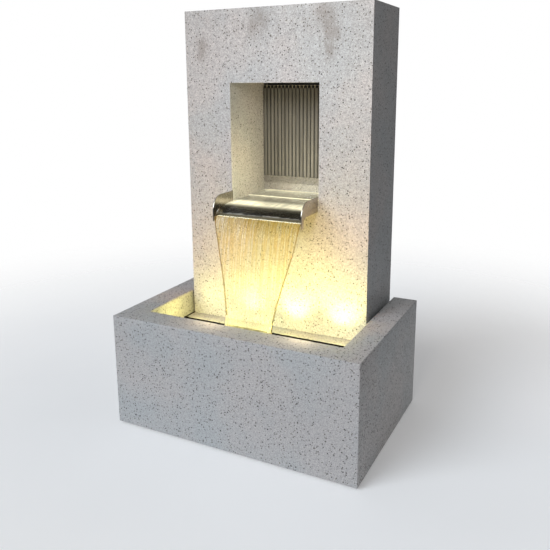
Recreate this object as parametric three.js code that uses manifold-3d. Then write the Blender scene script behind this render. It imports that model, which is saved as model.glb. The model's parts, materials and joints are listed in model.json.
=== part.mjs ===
// Tabletop water fountain: a terrazzo basin, a hollow terrazzo tower standing in its rear half, a niche
// whose water runs down a ribbed panel and out over a curved steel lip, a pump and a lamp bar.
// Millimetres, +Z up, the front faces -Y. The origin is on the ground under the middle of the basin.
import * as THREE from "three";
import { mergeVertices } from "three/addons/utils/BufferGeometryUtils.js";
import Module from "manifold-3d";

const wasm = await Module();
wasm.setup();

// ---------------------------------------------------------------- driving dimensions
const GAP = 0.3; // clearance between pieces that touch

// Basin
const WIDTH = 300;
const DEPTH = 205.2;
const FRONT = -DEPTH / 2;
const BACK = DEPTH / 2;
const BASIN_TOP = 134.9;
const FOOT_HEIGHT = 2;
const FOOT_RADIUS = 13;
const FOOT_INSET = 24;
const SIDE_WALL = 29.9;
const FRONT_WALL = 31.5;
const REAR_WALL = 10;
const FLOOR = 12;
const LEDGE_TOP = 97.5; // the step inside the walls that carries the deck and the grate
const LEDGE_SIDE = 9;
const LEDGE_FRONT = 7;
const WELL_HALF = WIDTH / 2 - SIDE_WALL; // upper opening, half width
const RESERVOIR_HALF = WELL_HALF - LEDGE_SIDE;
const WELL_FRONT = FRONT + FRONT_WALL;
const RESERVOIR_FRONT = WELL_FRONT + LEDGE_FRONT;
const RESERVOIR_BACK = BACK - REAR_WALL;
const FLOOR_TOP = FOOT_HEIGHT + FLOOR;

// Tower and the deck under it
const TOWER_HALF = 115.9;
const TOWER_FRONT = 13.4;
const TOWER_TOP = 477.6;
const TOWER_WALL = 8;
const DECK_TOP = 106;
const DECK_LIP = 16.5; // how far the deck stands out in front of the tower
const DECK_FRONT = TOWER_FRONT - DECK_LIP;
const EDGE_SEAL = 1.6; // thickness of the black strip along the deck's front edge
const SEAL_TOP = DECK_TOP - 0.5;
const LEAD_HOLE = { x: -89, y: 72, radius: 9 }; // in the deck, for the two leads
const TOWER_BASE = DECK_TOP + GAP;
const CAVITY_HALF = TOWER_HALF - TOWER_WALL;
const CAVITY_FRONT = TOWER_FRONT + TOWER_WALL;
const CAVITY_TOP = TOWER_TOP - TOWER_WALL;
const BRACKET = { y: 40, width: 20, reach: 16, height: 26, thick: 2, screwX: 98 };

// Niche
const NICHE_HALF = 56.2;
const NICHE_FLOOR = 259;
const NICHE_TOP = 395.6;
const NICHE_BACK = 95.9;
const NICHE_SHELL = 8;
const SILL_TOP = 278; // stone strip under the ribbed panel
const PAN_RECESS = 256.2; // the floor drops to this height in front, under the steel pan
const PAN_REAR = 54;
const WATER_SLOT = 6.8; // the slot in the ceiling in front of the ribbed panel

// Rear cover
const COVER_THICK = 3;
const COVER_FRONT = BACK - COVER_THICK;
const COVER_HALF = CAVITY_HALF - GAP;
const BOSS = 10;
const BOSS_LENGTH = 10;
const SCREW_HEAD = 3.2;
const SCREW_SHANK = 1.6;
const SCREW_LENGTH = 9;
const BOSS_HEIGHTS = [118, 290, 458];
const SCREW_X = CAVITY_HALF - BOSS / 2;
const COUNTERBORE = 1.6; // depth of the screws' and the bush's seats in the cover
const GROMMET = { x: -86, z: 124, flange: 8.2, body: 5.6, bore: 3 };

// Spillway
const STEEL = 1.2;
const PAN_TOP = 257.5;
const LIP_REACH = 42.6; // from the tower face to the front of the lip
const LIP_CURVE = 38;
const LIP_DROP = 13;
const LIP_END = 246.8;
const CHEEK_TOP = 269.8;
const CHEEK_BOTTOM = 252.9;
const CHEEK_REACH = 44.7;
const CHEEK_ROUND = 17;
const TAIL_BOTTOM = 240.7;
const TAIL_WIDTH = 5.7;
const TAIL_ROUND = 6;

// Ribbed panel
const RIB_COUNT = 22;
const RIB_RADIUS = 2.2;
const PANEL_TOP = 392.6;
const PANEL_BASE = 2.8;

// Header box over the niche
const HEADER = { half: 50, front: 50, height: 36, wall: 2.5, slotHalf: 46, slotWidth: 4 };
const HEADER_BASE = NICHE_TOP + NICHE_SHELL + GAP;

// Hose
const HOSE_OUTER = 6.5;
const HOSE_BORE = 4.8;
const SPIGOT_OUTER = 4.5;
const SPIGOT_BORE = 3;
const RISER = { x: 87, y: 72 };
const HOSE_RUN_Z = 83;
const HOSE_BEND = 14;
const INLET_Z = 425;
const LEAD_RADIUS = 1.6;
const JUNCTION = { x: [-104, -64], y: [83, 98.6], z: [138, 162] };

// Pump, in its own frame: the rotor's axis is the local Y axis, the floor is at local Z = 0
const PUMP = { x: 79, y: -36, half: 18, axis: 22.5, top: 40, base: 4, baseThick: 2, length: 26 };
const OUTLET_X = RISER.x - PUMP.x;
const CHAMBER_RADIUS = 15;
const CHAMBER_DEPTH = 9.7;
const VOLUTE_DEPTH = 11.7;
const WELL_RADIUS = 9;
const WELL_DEPTH = 22;
const EYE_RADIUS = 6;
const INTAKE_DEPTH = 9;
const INTAKE_WALL = 2;
const STEM_RADIUS = 2.4;
const IMPELLER_RADIUS = 12.5;
const IMPELLER_FRONT = -8.2;
const SHAFT_RADIUS = 1;

// Lamp bar, in its own frame: the tilt axis is the local X axis
const LAMP = { y: -18, z: 97.5, half: 94, width: 18, below: 6, above: 7, wall: 1.6, pin: 2.5, cap: 3 };
const LAMP_SPACING = 58;
const BOARD_THICK = 1.6;
const EMITTER = { radius: 3.2, rise: 1.8 };
const TRUNNION_LENGTH = 4.5;
const HANGER = { width: 20, thick: 2, drop: 9, rise: 6 };

// Grate in the trough
const GRATE_THICK = 3.7;
const GRATE_REAR = -31;
const GRATE_SLOTS = 33;
const GRATE_SLOT_WIDTH = 3;
const GRATE_SLOT_LENGTH = 26;
const GRATE_MARGIN = 16; // from the first slot's outer half pitch to the side of the reservoir
const FINGER_RADIUS = 6;

// ---------------------------------------------------------------- materials
function finish(color, roughness, metalness = 0, extra = {}) {
  return new THREE.MeshStandardMaterial({ color, roughness, metalness, flatShading: true, ...extra });
}
const terrazzo = () => finish(0xc4c0ba, 0.45);
const steel = () => finish(0xa8a294, 0.22, 1);
const ribbedResin = () => finish(0x6c675e, 0.4);
const blackRubber = () => finish(0x16161a, 0.8);
const blackPlastic = () => finish(0x1a1b1d, 0.5);
const greyPlastic = () => finish(0x8d8f90, 0.55);
const coverBoard = () => finish(0x9d9b96, 0.75);
const clearSilicone = () => finish(0xdcdcd2, 0.3, 0, { transparent: true, opacity: 0.6 });
const clearLens = () => finish(0xfff3d0, 0.1, 0, { transparent: true, opacity: 0.5 });
const circuitBoard = () => finish(0xe8e4d0, 0.5);
const magnet = () => finish(0x3c3c40, 0.4, 0.2);
const zinc = () => finish(0xb4b4b2, 0.35, 1);

// ---------------------------------------------------------------- geometry helpers
function toSolid(geometry) {
  const bare = geometry.index ? geometry.toNonIndexed() : geometry.clone();
  bare.deleteAttribute("normal");
  bare.deleteAttribute("uv");
  const merged = mergeVertices(bare, 1e-4);
  const vertProperties = merged.attributes.position.array;
  const triVerts = new Uint32Array(merged.index.array);
  return new wasm.Manifold(new wasm.Mesh({ numProp: 3, vertProperties, triVerts }));
}

function toGeometry(solid) {
  const mesh = solid.getMesh();
  const geometry = new THREE.BufferGeometry();
  geometry.setAttribute("position", new THREE.BufferAttribute(new Float32Array(mesh.vertProperties), 3));
  geometry.setIndex(new THREE.BufferAttribute(new Uint32Array(mesh.triVerts), 1));
  geometry.computeVertexNormals();
  return geometry;
}

function join(...geometries) {
  return toGeometry(geometries.map(toSolid).reduce((sum, solid) => sum.add(solid)));
}

function cut(geometry, ...tools) {
  return toGeometry(tools.map(toSolid).reduce((rest, tool) => rest.subtract(tool), toSolid(geometry)));
}

// A box given by its range on each axis.
function block([x0, x1], [y0, y1], [z0, z1]) {
  const box = new THREE.BoxGeometry(x1 - x0, y1 - y0, z1 - z0);
  return box.translate((x0 + x1) / 2, (y0 + y1) / 2, (z0 + z1) / 2);
}

// A round bar along X, Y or Z from one end to the other.
function bar(axis, radius, from, to, [a, b] = [0, 0], sides = 20) {
  const drum = new THREE.CylinderGeometry(radius, radius, to - from, sides);
  const middle = (from + to) / 2;
  if (axis === "x") return drum.rotateZ(-Math.PI / 2).translate(middle, a, b);
  if (axis === "y") return drum.translate(a, middle, b);
  return drum.rotateX(Math.PI / 2).translate(a, b, middle);
}

// A closed profile of [radius, height] points turned about the Z axis.
function turned(points, sides = 20) {
  const closed = [...points, points[0]].map(([r, z]) => new THREE.Vector2(r, z));
  return new THREE.LatheGeometry(closed, sides).rotateX(Math.PI / 2);
}

function outline(points) {
  return new THREE.Shape(points.map(([u, v]) => new THREE.Vector2(u, v)));
}

function roundHole(u, v, radius, sides = 20) {
  const points = [];
  for (let i = 0; i < sides; i++) {
    const turn = (2 * Math.PI * i) / sides;
    points.push(new THREE.Vector2(u + radius * Math.cos(turn), v + radius * Math.sin(turn)));
  }
  return new THREE.Path(points);
}

// A shape drawn in X and Y, raised from z0 to z1.
function raise(shape, z0, z1, curveSegments = 8) {
  const options = { depth: z1 - z0, bevelEnabled: false, curveSegments };
  return new THREE.ExtrudeGeometry(shape, options).translate(0, 0, z0);
}

// A shape drawn in Y and Z, stretched from x0 to x1.
const YZ_TO_WORLD = new THREE.Matrix4().makeBasis(
  new THREE.Vector3(0, 1, 0),
  new THREE.Vector3(0, 0, 1),
  new THREE.Vector3(1, 0, 0),
);
function stretch(shape, x0, x1, curveSegments = 8) {
  return raise(shape, 0, x1 - x0, curveSegments).applyMatrix4(YZ_TO_WORLD).translate(x0, 0, 0);
}

// A route of straight stretches with rounded corners.
function route(points, radius) {
  const path = new THREE.CurvePath();
  const corners = points.map((p) => new THREE.Vector3(...p));
  let start = corners[0];
  for (let i = 1; i < corners.length - 1; i++) {
    const corner = corners[i];
    const before = corner.clone().lerp(corners[i - 1], radius / corner.distanceTo(corners[i - 1]));
    const after = corner.clone().lerp(corners[i + 1], radius / corner.distanceTo(corners[i + 1]));
    path.add(new THREE.LineCurve3(start, before));
    path.add(new THREE.QuadraticBezierCurve3(before, corner, after));
    start = after;
  }
  path.add(new THREE.LineCurve3(start, corners.at(-1)));
  return path;
}

function tube(path, outer, bore, sides, steps) {
  const section = new THREE.Shape(roundHole(0, 0, outer, sides).getPoints());
  if (bore > 0) section.holes.push(roundHole(0, 0, bore, sides));
  return new THREE.ExtrudeGeometry(section, { extrudePath: path, steps, bevelEnabled: false });
}

// ---------------------------------------------------------------- scene graph helpers
function group(x = 0, y = 0, z = 0) {
  const made = new THREE.Group();
  made.position.set(x, y, z);
  return made;
}

function add(parent, name, geometry, material, x = 0, y = 0, z = 0) {
  const mesh = new THREE.Mesh(geometry, material);
  mesh.name = name;
  mesh.position.set(x, y, z);
  parent.add(mesh);
  return mesh;
}

const SIDES = [
  ["left", -1],
  ["right", 1],
];

// ---------------------------------------------------------------- basin
function basinShell() {
  const body = block([-WIDTH / 2, WIDTH / 2], [FRONT, BACK], [FOOT_HEIGHT, BASIN_TOP]);
  const well = block([-WELL_HALF, WELL_HALF], [WELL_FRONT, BACK + 1], [LEDGE_TOP, BASIN_TOP + 1]);
  const reservoir = block(
    [-RESERVOIR_HALF, RESERVOIR_HALF],
    [RESERVOIR_FRONT, RESERVOIR_BACK],
    [FLOOR_TOP, LEDGE_TOP + 1],
  );
  return cut(body, well, reservoir);
}

function makeBasin() {
  const basin = group();
  add(basin, "basin_shell", basinShell(), terrazzo());
  for (const [row, rowSign] of [["front", -1], ["rear", 1]]) {
    for (const [side, sign] of SIDES) {
      const pad = bar("z", FOOT_RADIUS, 0, FOOT_HEIGHT - GAP, [0, 0], 24);
      const x = sign * (WIDTH / 2 - FOOT_INSET);
      add(basin, `foot_${row}_${side}`, pad, blackRubber(), x, rowSign * (BACK - FOOT_INSET));
    }
  }
  const sealWidth = WELL_HALF - TOWER_HALF - 2 * GAP;
  const sealHeight = [LEDGE_TOP + GAP, SEAL_TOP];
  for (const [side, sign] of SIDES) {
    const seal = block([-sealWidth / 2, sealWidth / 2], [DECK_FRONT, BACK - GAP], sealHeight);
    add(basin, `gap_seal_${side}`, seal, blackRubber(), (sign * (WELL_HALF + TOWER_HALF)) / 2);
  }
  const edge = [DECK_FRONT - GAP - EDGE_SEAL, DECK_FRONT - GAP];
  const strip = block([GAP - WELL_HALF, WELL_HALF - GAP], edge, sealHeight);
  add(basin, "deck_edge_seal", strip, blackRubber());
  add(basin, "trough_grate", grate(), blackPlastic());
  return basin;
}

// A slotted plate with a round finger hole at each end.
function grate() {
  const half = WELL_HALF - GAP;
  const base = LEDGE_TOP + GAP;
  const plate = block([-half, half], [WELL_FRONT + GAP, GRATE_REAR], [base, base + GRATE_THICK]);
  const pitch = (2 * (RESERVOIR_HALF - GRATE_MARGIN)) / GRATE_SLOTS;
  const middle = (RESERVOIR_FRONT + GRATE_REAR) / 2;
  const through = [base - 1, base + GRATE_THICK + 1];
  const slotY = [middle - GRATE_SLOT_LENGTH / 2, middle + GRATE_SLOT_LENGTH / 2];
  const fingerX = RESERVOIR_HALF - GRATE_MARGIN / 2;
  const holes = SIDES.map(([, sign]) => bar("z", FINGER_RADIUS, ...through, [sign * fingerX, middle]));
  for (let i = 0; i < GRATE_SLOTS; i++) {
    const x = (i - (GRATE_SLOTS - 1) / 2) * pitch;
    holes.push(block([x - GRATE_SLOT_WIDTH / 2, x + GRATE_SLOT_WIDTH / 2], slotY, through));
  }
  return cut(plate, ...holes);
}

// ---------------------------------------------------------------- deck
function makeDeck() {
  const deck = group();
  const plate = outline([
    [-TOWER_HALF, DECK_FRONT],
    [TOWER_HALF, DECK_FRONT],
    [TOWER_HALF, BACK - GAP],
    [-TOWER_HALF, BACK - GAP],
  ]);
  plate.holes.push(roundHole(RISER.x, RISER.y, HOSE_OUTER + 2));
  plate.holes.push(roundHole(LEAD_HOLE.x, LEAD_HOLE.y, LEAD_HOLE.radius));
  for (const [, sign] of SIDES) {
    plate.holes.push(roundHole(sign * BRACKET.screwX, BRACKET.y, SCREW_SHANK + GAP, 12));
  }
  add(deck, "deck_plate", raise(plate, LEDGE_TOP + GAP, DECK_TOP), terrazzo());
  for (const [side, sign] of SIDES) {
    add(deck, `anchor_bracket_${side}`, anchorBracket(sign), zinc(), 0, BRACKET.y, TOWER_BASE);
    const top = TOWER_BASE + BRACKET.thick + GAP;
    add(deck, `anchor_screw_${side}`, screw(), zinc(), sign * BRACKET.screwX, BRACKET.y, top);
  }
  return deck;
}

// An angle between the deck and the tower's side wall, drawn about its own base.
function anchorBracket(sign) {
  const wall = CAVITY_HALF - GAP;
  const half = BRACKET.width / 2;
  const angle = outline([
    [wall, 0],
    [wall, BRACKET.height],
    [wall - BRACKET.thick, BRACKET.height],
    [wall - BRACKET.thick, BRACKET.thick],
    [wall - BRACKET.reach, BRACKET.thick],
    [wall - BRACKET.reach, 0],
  ]);
  const profile = raise(angle, -half, half).rotateX(Math.PI / 2);
  const hole = bar("z", SCREW_SHANK + GAP, -1, BRACKET.thick + 1, [BRACKET.screwX, 0], 12);
  const made = cut(profile, hole);
  return sign > 0 ? made : made.rotateZ(Math.PI);
}

// A pan-head screw standing on its head's underside, its shank pointing down.
function screw() {
  return turned(
    [
      [0, -SCREW_LENGTH],
      [SCREW_SHANK, 1 - SCREW_LENGTH],
      [SCREW_SHANK, 0],
      [SCREW_HEAD, 0],
      [SCREW_HEAD, 0.7],
      [SCREW_HEAD - 0.5, 1.2],
      [0, 1.2],
    ],
    12,
  );
}

// ---------------------------------------------------------------- tower
function towerShell() {
  const body = block([-TOWER_HALF, TOWER_HALF], [TOWER_FRONT, BACK], [TOWER_BASE, TOWER_TOP]);
  const cavity = block([-CAVITY_HALF, CAVITY_HALF], [CAVITY_FRONT, BACK + 1], [TOWER_BASE - 1, CAVITY_TOP]);
  const nicheOuter = NICHE_HALF + NICHE_SHELL;
  const nicheRear = COVER_FRONT - GAP;
  const niche = block(
    [-nicheOuter, nicheOuter],
    [CAVITY_FRONT - 1, nicheRear],
    [PAN_RECESS - NICHE_SHELL, NICHE_TOP + NICHE_SHELL],
  );
  const bosses = BOSS_HEIGHTS.flatMap((z) =>
    SIDES.map(([, sign]) => {
      const edges = [sign * (CAVITY_HALF - BOSS), sign * (CAVITY_HALF + 1)].sort((a, b) => a - b);
      const bossRear = COVER_FRONT - GAP;
      return block(edges, [bossRear - BOSS_LENGTH, bossRear], [z - BOSS / 2, z + BOSS / 2]);
    }),
  );
  const opening = block([-NICHE_HALF, NICHE_HALF], [TOWER_FRONT - 1, NICHE_BACK], [NICHE_FLOOR, NICHE_TOP]);
  const panelSeat = block([-NICHE_HALF, NICHE_HALF], [NICHE_BACK - 1, BACK], [SILL_TOP, NICHE_TOP]);
  const panRecess = block(
    [-NICHE_HALF, NICHE_HALF],
    [TOWER_FRONT - 1, PAN_REAR],
    [PAN_RECESS, NICHE_FLOOR + 1],
  );
  const slot = block(
    [-HEADER.half, HEADER.half],
    [NICHE_BACK - WATER_SLOT, BACK],
    [NICHE_TOP - 1, NICHE_TOP + NICHE_SHELL + 1],
  );
  const screwHoles = BOSS_HEIGHTS.flatMap((z) =>
    SIDES.map(([, sign]) =>
      bar("y", SCREW_SHANK + GAP, COVER_FRONT - BOSS_LENGTH, BACK, [sign * SCREW_X, z], 12),
    ),
  );
  return cut(join(cut(body, cavity), niche, ...bosses), opening, panelSeat, panRecess, slot, ...screwHoles);
}

function rearCover() {
  const plate = outline([
    [-COVER_HALF, TOWER_BASE + GAP],
    [COVER_HALF, TOWER_BASE + GAP],
    [COVER_HALF, CAVITY_TOP - GAP],
    [-COVER_HALF, CAVITY_TOP - GAP],
  ]);
  const sheet = raise(plate, -BACK, -COVER_FRONT).rotateX(Math.PI / 2);
  const seat = BACK - COUNTERBORE;
  const holes = BOSS_HEIGHTS.flatMap((z) =>
    SIDES.flatMap(([, sign]) => [
      bar("y", SCREW_SHANK + GAP, COVER_FRONT - 1, BACK + 1, [sign * SCREW_X, z], 12),
      bar("y", SCREW_HEAD + GAP, seat, BACK + 1, [sign * SCREW_X, z], 16),
    ]),
  );
  const cableHole = bar("y", GROMMET.body + GAP, COVER_FRONT - 1, BACK + 1, [GROMMET.x, GROMMET.z]);
  const cableSeat = bar("y", GROMMET.flange + GAP, seat, BACK + 1, [GROMMET.x, GROMMET.z], 24);
  return cut(sheet, ...holes, cableHole, cableSeat);
}

// A rubber bush with a flange on each side of the cover, open through its middle.
function cableGrommet() {
  const { flange, body, bore } = GROMMET;
  const profile = [
    [bore, -2.5],
    [flange - 0.8, -2.5],
    [flange - 0.8, -GAP],
    [body, -GAP],
    [body, COVER_THICK - COUNTERBORE + GAP],
    [flange, COVER_THICK - COUNTERBORE + GAP],
    [flange, COVER_THICK],
    [bore, COVER_THICK],
  ];
  return turned(profile, 24).rotateX(-Math.PI / 2);
}

// Half-round ribs side by side on a flat base.
function ribbedPanel() {
  const half = NICHE_HALF - GAP;
  const back = COVER_FRONT - 2 * GAP;
  const base = back - PANEL_BASE;
  const pitch = (2 * half) / RIB_COUNT;
  const arcSteps = 6;
  const points = [[half, base], [half, back], [-half, back], [-half, base]];
  for (let i = 0; i < RIB_COUNT; i++) {
    const x = -half + (i + 0.5) * pitch;
    for (let j = 0; j <= arcSteps; j++) {
      const turn = Math.PI * (1 - j / arcSteps);
      points.push([x + RIB_RADIUS * Math.cos(turn), base - RIB_RADIUS * Math.sin(turn)]);
    }
  }
  return raise(outline(points), SILL_TOP + GAP, PANEL_TOP);
}

function headerBox() {
  const { half, front, height, wall, slotHalf, slotWidth } = HEADER;
  const back = COVER_FRONT - 2 * GAP;
  const shell = block([-half, half], [front, back], [HEADER_BASE, HEADER_BASE + height]);
  const spigot = bar("x", SPIGOT_OUTER, half - 1, half + 15, [RISER.y, INLET_Z], 16);
  const openTop = HEADER_BASE + height + 1;
  const inside = block(
    [wall - half, half - wall],
    [front + wall, back - wall],
    [HEADER_BASE + wall, openTop],
  );
  const bore = bar("x", SPIGOT_BORE, half - wall - 1, half + 16, [RISER.y, INLET_Z], 16);
  const slotRear = NICHE_BACK - 1.5;
  const slot = block(
    [-slotHalf, slotHalf],
    [slotRear - slotWidth, slotRear],
    [HEADER_BASE - 1, HEADER_BASE + wall + 1],
  );
  return cut(join(shell, spigot), inside, bore, slot);
}

function makeTower() {
  const tower = group();
  add(tower, "tower_shell", towerShell(), terrazzo());
  add(tower, "rear_cover", rearCover(), coverBoard());
  let count = 0;
  for (const z of BOSS_HEIGHTS) {
    for (const [, sign] of SIDES) {
      count += 1;
      const made = screw().rotateX(-Math.PI / 2);
      const y = BACK - COUNTERBORE + GAP;
      add(tower, `rear_cover_screw_${count}`, made, zinc(), sign * SCREW_X, y, z);
    }
  }
  add(tower, "cable_grommet", cableGrommet(), blackRubber(), GROMMET.x, COVER_FRONT, GROMMET.z);
  add(tower, "ribbed_panel", ribbedPanel(), ribbedResin());
  const back = COVER_FRONT - 2 * GAP;
  const sealHalf = HEADER.half - GAP;
  const seal = block(
    [-sealHalf, sealHalf],
    [back - PANEL_BASE, back],
    [PANEL_TOP + GAP, HEADER_BASE - 2 * GAP],
  );
  add(tower, "slot_seal", seal, blackRubber());
  add(tower, "header_box", headerBox(), greyPlastic());
  const lidBase = HEADER_BASE + HEADER.height + GAP;
  const lid = block([-HEADER.half, HEADER.half], [HEADER.front, back], [lidBase, lidBase + HEADER.wall]);
  add(tower, "header_lid", lid, greyPlastic());
  return tower;
}

// ---------------------------------------------------------------- spillway
// The pan runs out flat over the niche floor and rolls down over a quarter ellipse to its drip edge.
function spillwayPan() {
  const centre = TOWER_FRONT - LIP_REACH + LIP_CURVE;
  const steps = 12;
  const upper = [];
  const lower = [];
  const last = Math.acos((LIP_END - PAN_TOP + LIP_DROP) / LIP_DROP);
  for (let i = 0; i <= steps; i++) {
    const turn = (last * i) / steps;
    upper.push([centre - LIP_CURVE * Math.sin(turn), PAN_TOP - LIP_DROP * (1 - Math.cos(turn))]);
    lower.push([
      centre - (LIP_CURVE - STEEL) * Math.sin(turn),
      PAN_TOP - LIP_DROP + (LIP_DROP - STEEL) * Math.cos(turn),
    ]);
  }
  const rear = PAN_REAR - 0.5;
  const profile = outline([[rear, PAN_TOP], ...upper, ...lower.reverse(), [rear, PAN_TOP - STEEL]]);
  const half = NICHE_HALF - STEEL - 3 * GAP;
  return stretch(profile, -half, half);
}

function spillwayCheek() {
  const rear = TOWER_FRONT - GAP;
  const front = TOWER_FRONT - CHEEK_REACH;
  const tail = front + TAIL_WIDTH;
  const side = new THREE.Shape();
  side.moveTo(rear, CHEEK_BOTTOM);
  side.lineTo(rear, CHEEK_TOP);
  side.lineTo(front + CHEEK_ROUND, CHEEK_TOP);
  side.absarc(front + CHEEK_ROUND, CHEEK_TOP - CHEEK_ROUND, CHEEK_ROUND, Math.PI / 2, Math.PI, false);
  side.lineTo(front, TAIL_BOTTOM);
  side.lineTo(tail, TAIL_BOTTOM);
  side.lineTo(tail, CHEEK_BOTTOM - TAIL_ROUND);
  side.absarc(tail + TAIL_ROUND, CHEEK_BOTTOM - TAIL_ROUND, TAIL_ROUND, Math.PI, Math.PI / 2, true);
  side.closePath();
  return stretch(side, -STEEL / 2, STEEL / 2, 10);
}

function makeSpillway() {
  const spillway = group();
  add(spillway, "spillway_pan", spillwayPan(), steel());
  const x = NICHE_HALF - GAP - STEEL / 2;
  for (const [side, sign] of SIDES) {
    add(spillway, `spillway_cheek_${side}`, spillwayCheek(), steel(), sign * x);
  }
  return spillway;
}

// ---------------------------------------------------------------- pump
function pumpMotor() {
  const { half, axis, top, base, baseThick, length } = PUMP;
  const casing = block([-half, half], [0, length], [base + baseThick - 0.5, top - 2]);
  const plate = block([-half, half], [-VOLUTE_DEPTH - 4, length], [base, base + baseThick]);
  const cableBoss = bar("y", 4, length - 1, length + 4, [-8, top - 10], 12);
  const well = bar("y", WELL_RADIUS, -1, WELL_DEPTH, [0, axis], 24);
  const groove = turned([[15.6, -1], [17.4, -1], [17.4, 1.2], [15.6, 1.2]], 24);
  groove.rotateX(-Math.PI / 2).translate(0, 0, axis);
  return cut(join(casing, plate, cableBoss), well, groove);
}

// The impeller chamber: open to the motor, a spoked intake eye in front, the outlet spigot on top.
function pumpVolute() {
  const { half, axis, top, base, baseThick } = PUMP;
  const floor = base + baseThick + GAP;
  const front = -GAP - VOLUTE_DEPTH;
  const body = block([-half, half], [front, -GAP], [floor, top]);
  const spigot = bar("z", SPIGOT_OUTER, top - 1, top + 13, [OUTLET_X, front / 2], 16);
  const chamber = bar("y", CHAMBER_RADIUS, -GAP - CHAMBER_DEPTH, 1, [0, axis], 24);
  const eye = bar("y", EYE_RADIUS, front - 1, -CHAMBER_DEPTH, [0, axis], 20);
  const bore = bar("z", SPIGOT_BORE, axis + 8, top + 17, [OUTLET_X, front / 2], 16);
  const hollow = cut(join(body, spigot), chamber, eye, bore);
  const spoke = block([-EYE_RADIUS - 0.5, EYE_RADIUS + 0.5], [front, front + 1.6], [axis - 0.8, axis + 0.8]);
  const hub = bar("y", 2.4, front, front + 1.9, [0, axis], 12);
  return join(hollow, spoke, hub);
}

// A slotted cup in front of the intake eye, with a round hole for the flow dial's stem.
function pumpIntakeCover() {
  const { half, axis, top, base, baseThick } = PUMP;
  const rear = -2 * GAP - VOLUTE_DEPTH;
  const front = rear - INTAKE_DEPTH;
  const floor = base + baseThick + GAP;
  const cup = block([-half, half], [front, rear], [floor, top - 2]);
  const insideHalf = half - INTAKE_WALL;
  const inside = block(
    [-insideHalf, insideHalf],
    [front + INTAKE_WALL, rear + 1],
    [floor + INTAKE_WALL, top - 2 - INTAKE_WALL],
  );
  const stemHole = bar("y", STEM_RADIUS + 0.4, front - 1, front + INTAKE_WALL + 1, [0, axis], 16);
  const slots = [];
  for (let i = 0; i < 4; i++) {
    for (const [, sign] of SIDES) {
      const z = floor + 4 + i * 7;
      const edges = [sign * 10.5, sign * (half - 4)].sort((a, b) => a - b);
      slots.push(block(edges, [front - 1, front + INTAKE_WALL + 1], [z, z + 3]));
    }
  }
  return cut(cup, inside, stemHole, ...slots);
}

function pumpFlowDial() {
  const rear = -3 * GAP - VOLUTE_DEPTH - INTAKE_DEPTH;
  const disc = bar("y", 9, rear - 2, rear, [0, 0], 24);
  const stem = bar("y", STEM_RADIUS, rear - 1, rear + 4.3, [0, 0], 16);
  const grip = block([-1, 1], [rear - 3.6, rear - 1], [-7, 7]);
  return join(disc, stem, grip);
}

// A magnet drum on one side of a disc, six blades on the other, bored for the shaft.
function pumpImpeller() {
  const blades = [];
  for (let i = 0; i < 6; i++) {
    const blade = block([2, IMPELLER_RADIUS], [IMPELLER_FRONT, -1.5], [-0.6, 0.6]);
    blades.push(blade.rotateY((i * Math.PI) / 3));
  }
  const disc = bar("y", IMPELLER_RADIUS, -2.2, -1.2, [0, 0], 24);
  const drum = bar("y", WELL_RADIUS - 1, -1.5, WELL_DEPTH - 1.5, [0, 0], 20);
  const hub = bar("y", 3, IMPELLER_FRONT, -1.5, [0, 0], 16);
  const bore = bar("y", SHAFT_RADIUS + GAP, IMPELLER_FRONT - 1, WELL_DEPTH, [0, 0], 16);
  return cut(join(disc, drum, hub, ...blades), bore);
}

function makePump() {
  const pump = group(PUMP.x, PUMP.y, FLOOR_TOP);
  add(pump, "pump_motor", pumpMotor(), blackPlastic());
  add(pump, "pump_volute", pumpVolute(), blackPlastic());
  add(pump, "pump_intake_cover", pumpIntakeCover(), blackPlastic());
  add(pump, "pump_flow_dial", pumpFlowDial(), greyPlastic(), 0, 0, PUMP.axis);
  add(pump, "pump_impeller", pumpImpeller(), magnet(), 0, 0, PUMP.axis);
  const shaft = bar("y", SHAFT_RADIUS, -GAP - CHAMBER_DEPTH + 0.1, WELL_DEPTH - GAP, [0, 0], 12);
  add(pump, "pump_shaft", shaft, zinc(), 0, 0, PUMP.axis);
  const ring = turned([[15.9, -0.2], [17.1, -0.2], [17.1, 0.9], [15.9, 0.9]], 24).rotateX(-Math.PI / 2);
  add(pump, "pump_seal_ring", ring, blackRubber(), 0, 0, PUMP.axis);
  const cup = [[0, GAP], [6, GAP], [6, 0.9], [2.5, 2.6], [2.5, PUMP.base - GAP], [0, PUMP.base - GAP]];
  for (const [row, y] of [["front", -VOLUTE_DEPTH + 2], ["rear", PUMP.length - 6]]) {
    for (const [side, sign] of SIDES) {
      add(pump, `pump_cup_${row}_${side}`, turned(cup, 16), blackRubber(), sign * (PUMP.half - 6), y);
    }
  }
  return pump;
}

// ---------------------------------------------------------------- riser hose and its clips
function makeHose() {
  const hose = group();
  const outletY = PUMP.y - (GAP + VOLUTE_DEPTH) / 2;
  const start = FLOOR_TOP + PUMP.top + GAP;
  const end = HEADER.half + 2 * GAP;
  const centreline = route(
    [
      [RISER.x, outletY, start],
      [RISER.x, outletY, HOSE_RUN_Z],
      [RISER.x, RISER.y, HOSE_RUN_Z],
      [RISER.x, RISER.y, INLET_Z],
      [end, RISER.y, INLET_Z],
    ],
    HOSE_BEND,
  );
  add(hose, "riser_hose", tube(centreline, HOSE_OUTER, HOSE_BORE, 10, 60), clearSilicone());
  const clip = () => {
    const inner = HOSE_OUTER + GAP;
    const ring = turned([[inner, -2.5], [inner + 1.2, -2.5], [inner + 1.2, 2.5], [inner, 2.5]], 20);
    return join(ring, block([inner + 0.5, inner + 6], [-1.5, 1.5], [-2.5, 2.5]));
  };
  add(hose, "hose_clip_lower", clip(), zinc(), RISER.x, outletY, start + 8);
  add(hose, "hose_clip_upper", clip().rotateY(Math.PI / 2), zinc(), end + 8, RISER.y, INLET_Z);
  return hose;
}

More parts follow.
